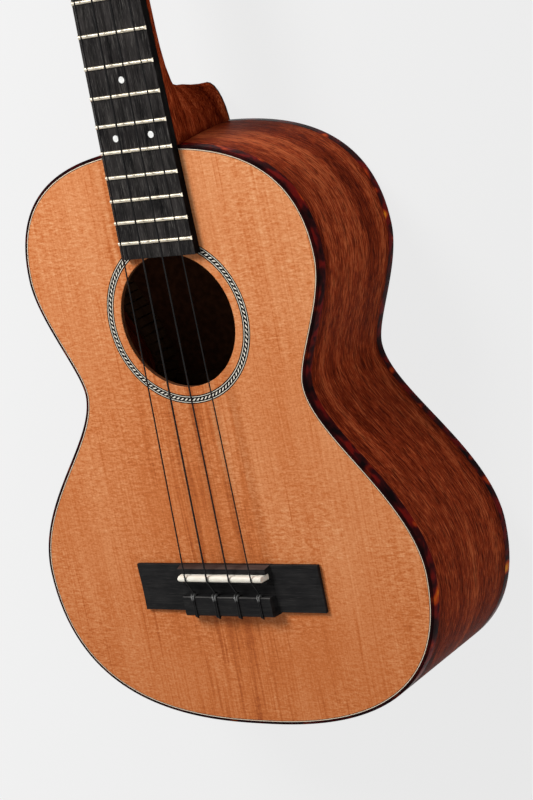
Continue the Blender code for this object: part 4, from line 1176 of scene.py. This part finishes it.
# %% Post and gear
def gear_row(turn, height):
    """One level of the gear: each tooth goes up one flank and down the other."""
    flank = ((-0.36, 0.0038), (-0.27, 0.0040), (-0.16, 0.0048), (-0.10, 0.0052))
    flank += tuple((-offset, radius) for offset, radius in reversed(flank))
    row = []
    for tooth in range(TEETH):
        for offset, radius in flank:
            angle = math.pi / 2 + turn + (tooth + 0.5 + offset) * 2 * math.pi / TEETH
            row.append((radius * math.cos(angle), radius * math.sin(angle), height))
    return row


def make_post(name, x, up):
    place = HEAD @ Matrix.Translation((x, up, 0))
    bm = bmesh.new()
    foot = WORM_HEIGHT - 0.0018
    profile = [(0, 0.0150), (0.0020, 0.0150), (0.0026, 0.0148), (0.0030, 0.0142), (0.0030, 0.0134)]
    profile += [(0.0027, 0.0122), (0.0026, 0.0114), (0.0026, FACE + 0.0034), (0.0027, FACE + 0.0026)]
    profile += [(0.0030, FACE + 0.0022), (0.0030, foot + 0.0003), (0.0027, foot), (0, foot)]
    add_spun(bm, profile, 48, place)
    lean = WORM_PITCH / (2 * math.pi * WORM_RADIUS) * GEAR_HALF / GEAR_RADIUS
    levels = [gear_row(lean * t, WORM_HEIGHT + GEAR_HALF * t) for t in (-1, -0.5, 0, 0.5, 1)]
    add_rows(bm, levels, place)
    across = Matrix.Translation((0, 0, 0.0098)) @ Matrix.Rotation(math.pi / 2, 4, "Y")
    old = set(bm.faces)
    add_spun(bm, [(0, -0.00262), (0.0007, -0.00262), (0.0007, 0.00262), (0, 0.00262)], 20, place @ across)
    # Painted shade: the pin across the post, showing its string hole, takes the dark brown.
    for face in bm.faces:
        face.material_index = 0 if face in old else 1
    own = {"stands_for": (f"tuner_post_{name}",), "body": f"post_{name}", "frame_of": Matrix()}
    finish_piece(f"post {name}", bm, [brass, painted_shade_brown], "gear_brass", **own)


# %% Worm, shaft and grip
def worm_rows():
    """Sections of the thread along its helix, which rises from the core and sinks into it again."""
    rows = []
    total = 100
    for i in range(total + 1):
        turn = (i - total / 2) / 36
        angle = math.pi + 2 * math.pi * turn
        rise = min(1.0, min(i, total - i) / 9)
        tip = 0.0014 + 0.0011 * rise
        section = ((0.0013, -0.00046), (0.0013, 0.00046), (tip, 0.00022), (tip, -0.00022))
        at = WORM_PITCH * turn
        rows.append([(at + along, r * math.cos(angle), r * math.sin(angle)) for r, along in section])
    return rows


def grip_rows():
    """Rounded sections of the oval grip, closest together at its ends."""
    rows = []
    for i in range(17):
        along = 0.0075 * (1 - math.cos(math.pi * i / 16))
        scale = (1 - ((along - 0.0073) / 0.0080) ** 2) ** 0.5
        ring = []
        for k in range(36):
            c, s = math.cos(math.pi * k / 18), math.sin(math.pi * k / 18)
            wide = 0.0068 * scale * math.copysign(abs(c) ** 0.8, c)
            thick = 0.0030 * (0.45 + 0.55 * scale) * math.copysign(abs(s) ** 0.8, s)
            ring.append((0.0165 + along, wide, thick))
        rows.append(ring)
    return rows


def make_button(name, x, up, side):
    facing = Matrix() if side > 0 else Matrix.Rotation(math.pi, 4, "Y")
    place = HEAD @ Matrix.Translation((x, up + WORM_OFFSET, WORM_HEIGHT)) @ facing
    bm = bmesh.new()
    profile = [(0, -0.0088), (0.0009, -0.0088), (0.0012, -0.0085), (0.0012, -0.0060), (0.0016, -0.0054)]
    profile += [(0.0016, 0.0070), (0.0012, 0.0076), (0.0012, 0.0133), (0.0020, 0.0138), (0.0023, 0.0145)]
    profile += [(0.0023, 0.0158), (0.0019, 0.0170), (0, 0.0175)]
    add_spun(bm, profile, 40, place @ Matrix.Rotation(math.pi / 2, 4, "Y"))
    add_rows(bm, worm_rows(), place)
    add_rows(bm, grip_rows(), place)
    own = {"stands_for": (f"tuner_button_{name}",), "body": f"button_{name}", "frame_of": Matrix()}
    finish_piece(f"button {name}", bm, [nickel], "tuner_metal", **own)


# %% Plates, screws and ferrules
def make_screws_and_ferrule(name, x, up, side):
    bm = bmesh.new()
    place = HEAD @ Matrix.Translation((x, up, 0))
    ring = [(0.00335, FACE - 0.0002), (0.00335, FACE + 0.0011), (0.0036, FACE + 0.0013)]
    ring += [(0.0046, FACE + 0.0013), (0.0051, FACE + 0.0010), (0.0057, FACE + 0.0007)]
    ring += [(0.0058, FACE + 0.0004), (0.0058, FACE - 0.0002)]
    add_spun(bm, [*ring, ring[0]], 64, place)
    for at in ((-0.0062, -0.0045), (0.0082, -0.0045)):
        seat = place @ Matrix.Translation((side * at[0], at[1], PLATE_UNDER))
        dome = [(0, -0.0008), (0.0005, -0.00078), (0.0010, -0.0006), (0.0013, -0.0003), (0.0013, 0.0002)]
        add_spun(bm, [*dome, (0, 0.0002)], 32, seat)
        # A black box in each screw head stands for the slot as painted shade.
        shape = Matrix.Diagonal((0.0019, 0.00035, 0.00162, 1))
        slot = bmesh.ops.create_cube(bm, size=1, matrix=seat @ shape)
        for face in {face for vert in slot["verts"] for face in vert.link_faces}:
            face.material_index = 1
    finish_piece(f"fittings {name}", bm, [nickel, line_black], "tuner_metal", frame_of=Matrix())


smooth_copy("head_veneer", facing_black, "black_wood", bevel=0.0002)
for name, (x, up) in POSTS.items():
    side = math.copysign(1, x)
    smooth_copy(f"tuner_plate_{name}", nickel, "tuner_metal", bevel=0.0002)
    make_button(name, x, up, side)
    make_post(name, x, up)
    make_screws_and_ferrule(name, x, up, side)
print("tuners done")

# %% [markdown]
# ## Light, floor and camera
#
# The photograph has a large soft light from the upper left and a plain pale ground that darkens
# slightly to the right. The floor glows with the ground's colour for the camera and for reflections,
# and keeps a share of its own shading, so a soft shadow stays. The world does the same: it is pale
# where it is looked at, and gives only a third of that as light.

# %% Floor
def floor_finish():
    ground = Finish("pale ground", Roughness=0.9)
    x, y, _ = ground.place()
    to_the_right = x * 0.8251 + y * -0.2203
    paint = ground.blend(ground.step(to_the_right, -0.85, 0.30), (255, 255, 255), (236, 236, 236))
    ground.feed("Base Color", paint)
    glow = ground.node("Emission", {}, {"Color": paint, "Strength": 1.0})
    own = Flow(ground, ground.shader.outputs[0])
    mix = ground.node("MixShader", {}, {0: ground.seen() * 0.93, 1: own, 2: glow})
    ground.tree.links.new(mix.socket, ground.tree.nodes["Material Output"].inputs["Surface"])
    return ground.material


bpy.ops.mesh.primitive_plane_add(size=30, location=(0, 0, -0.0002))
floor = bpy.context.object
floor.name = "floor"
floor.data.materials.append(floor_finish())
print("floor done")


# %% Lights
def area_light(name, place, target, size, power):
    lamp = bpy.data.lights.new(name, "AREA")
    lamp.shape = "DISK"
    lamp.size = size
    lamp.energy = power
    holder = add_object(name, lamp)
    holder.location = place
    holder.rotation_euler = (Vector(target) - Vector(place)).to_track_quat("-Z", "Y").to_euler()


area_light("key", (-0.40, 0.75, 0.85), (0, -0.05, 0.05), 0.5, 15.5)
area_light("fill", (1.8, -0.6, 1.2), (0, -0.1, 0.05), 1.8, 7)
sky = Finish("studio", bpy.data.worlds, "Background", Color=colour(244, 244, 244))
sky.feed("Strength", sky.node("MapRange", {}, {"Value": sky.seen(), "To Min": 0.31, "To Max": 1.0}))
bpy.context.scene.world = sky.material
bpy.context.scene.view_settings.view_transform = "Standard"
print("lights done")

# %% Camera
lens = bpy.data.cameras.new("camera")
lens.lens = 101.89
lens.sensor_width = 36
lens.clip_start = 0.05
camera = add_object("camera", lens)
camera.location = (0.65386, 0.13005, 0.92048)
camera.rotation_euler = (-0.415813, 0.547179, -0.260861)
bpy.context.scene.camera = camera
print("camera placed")
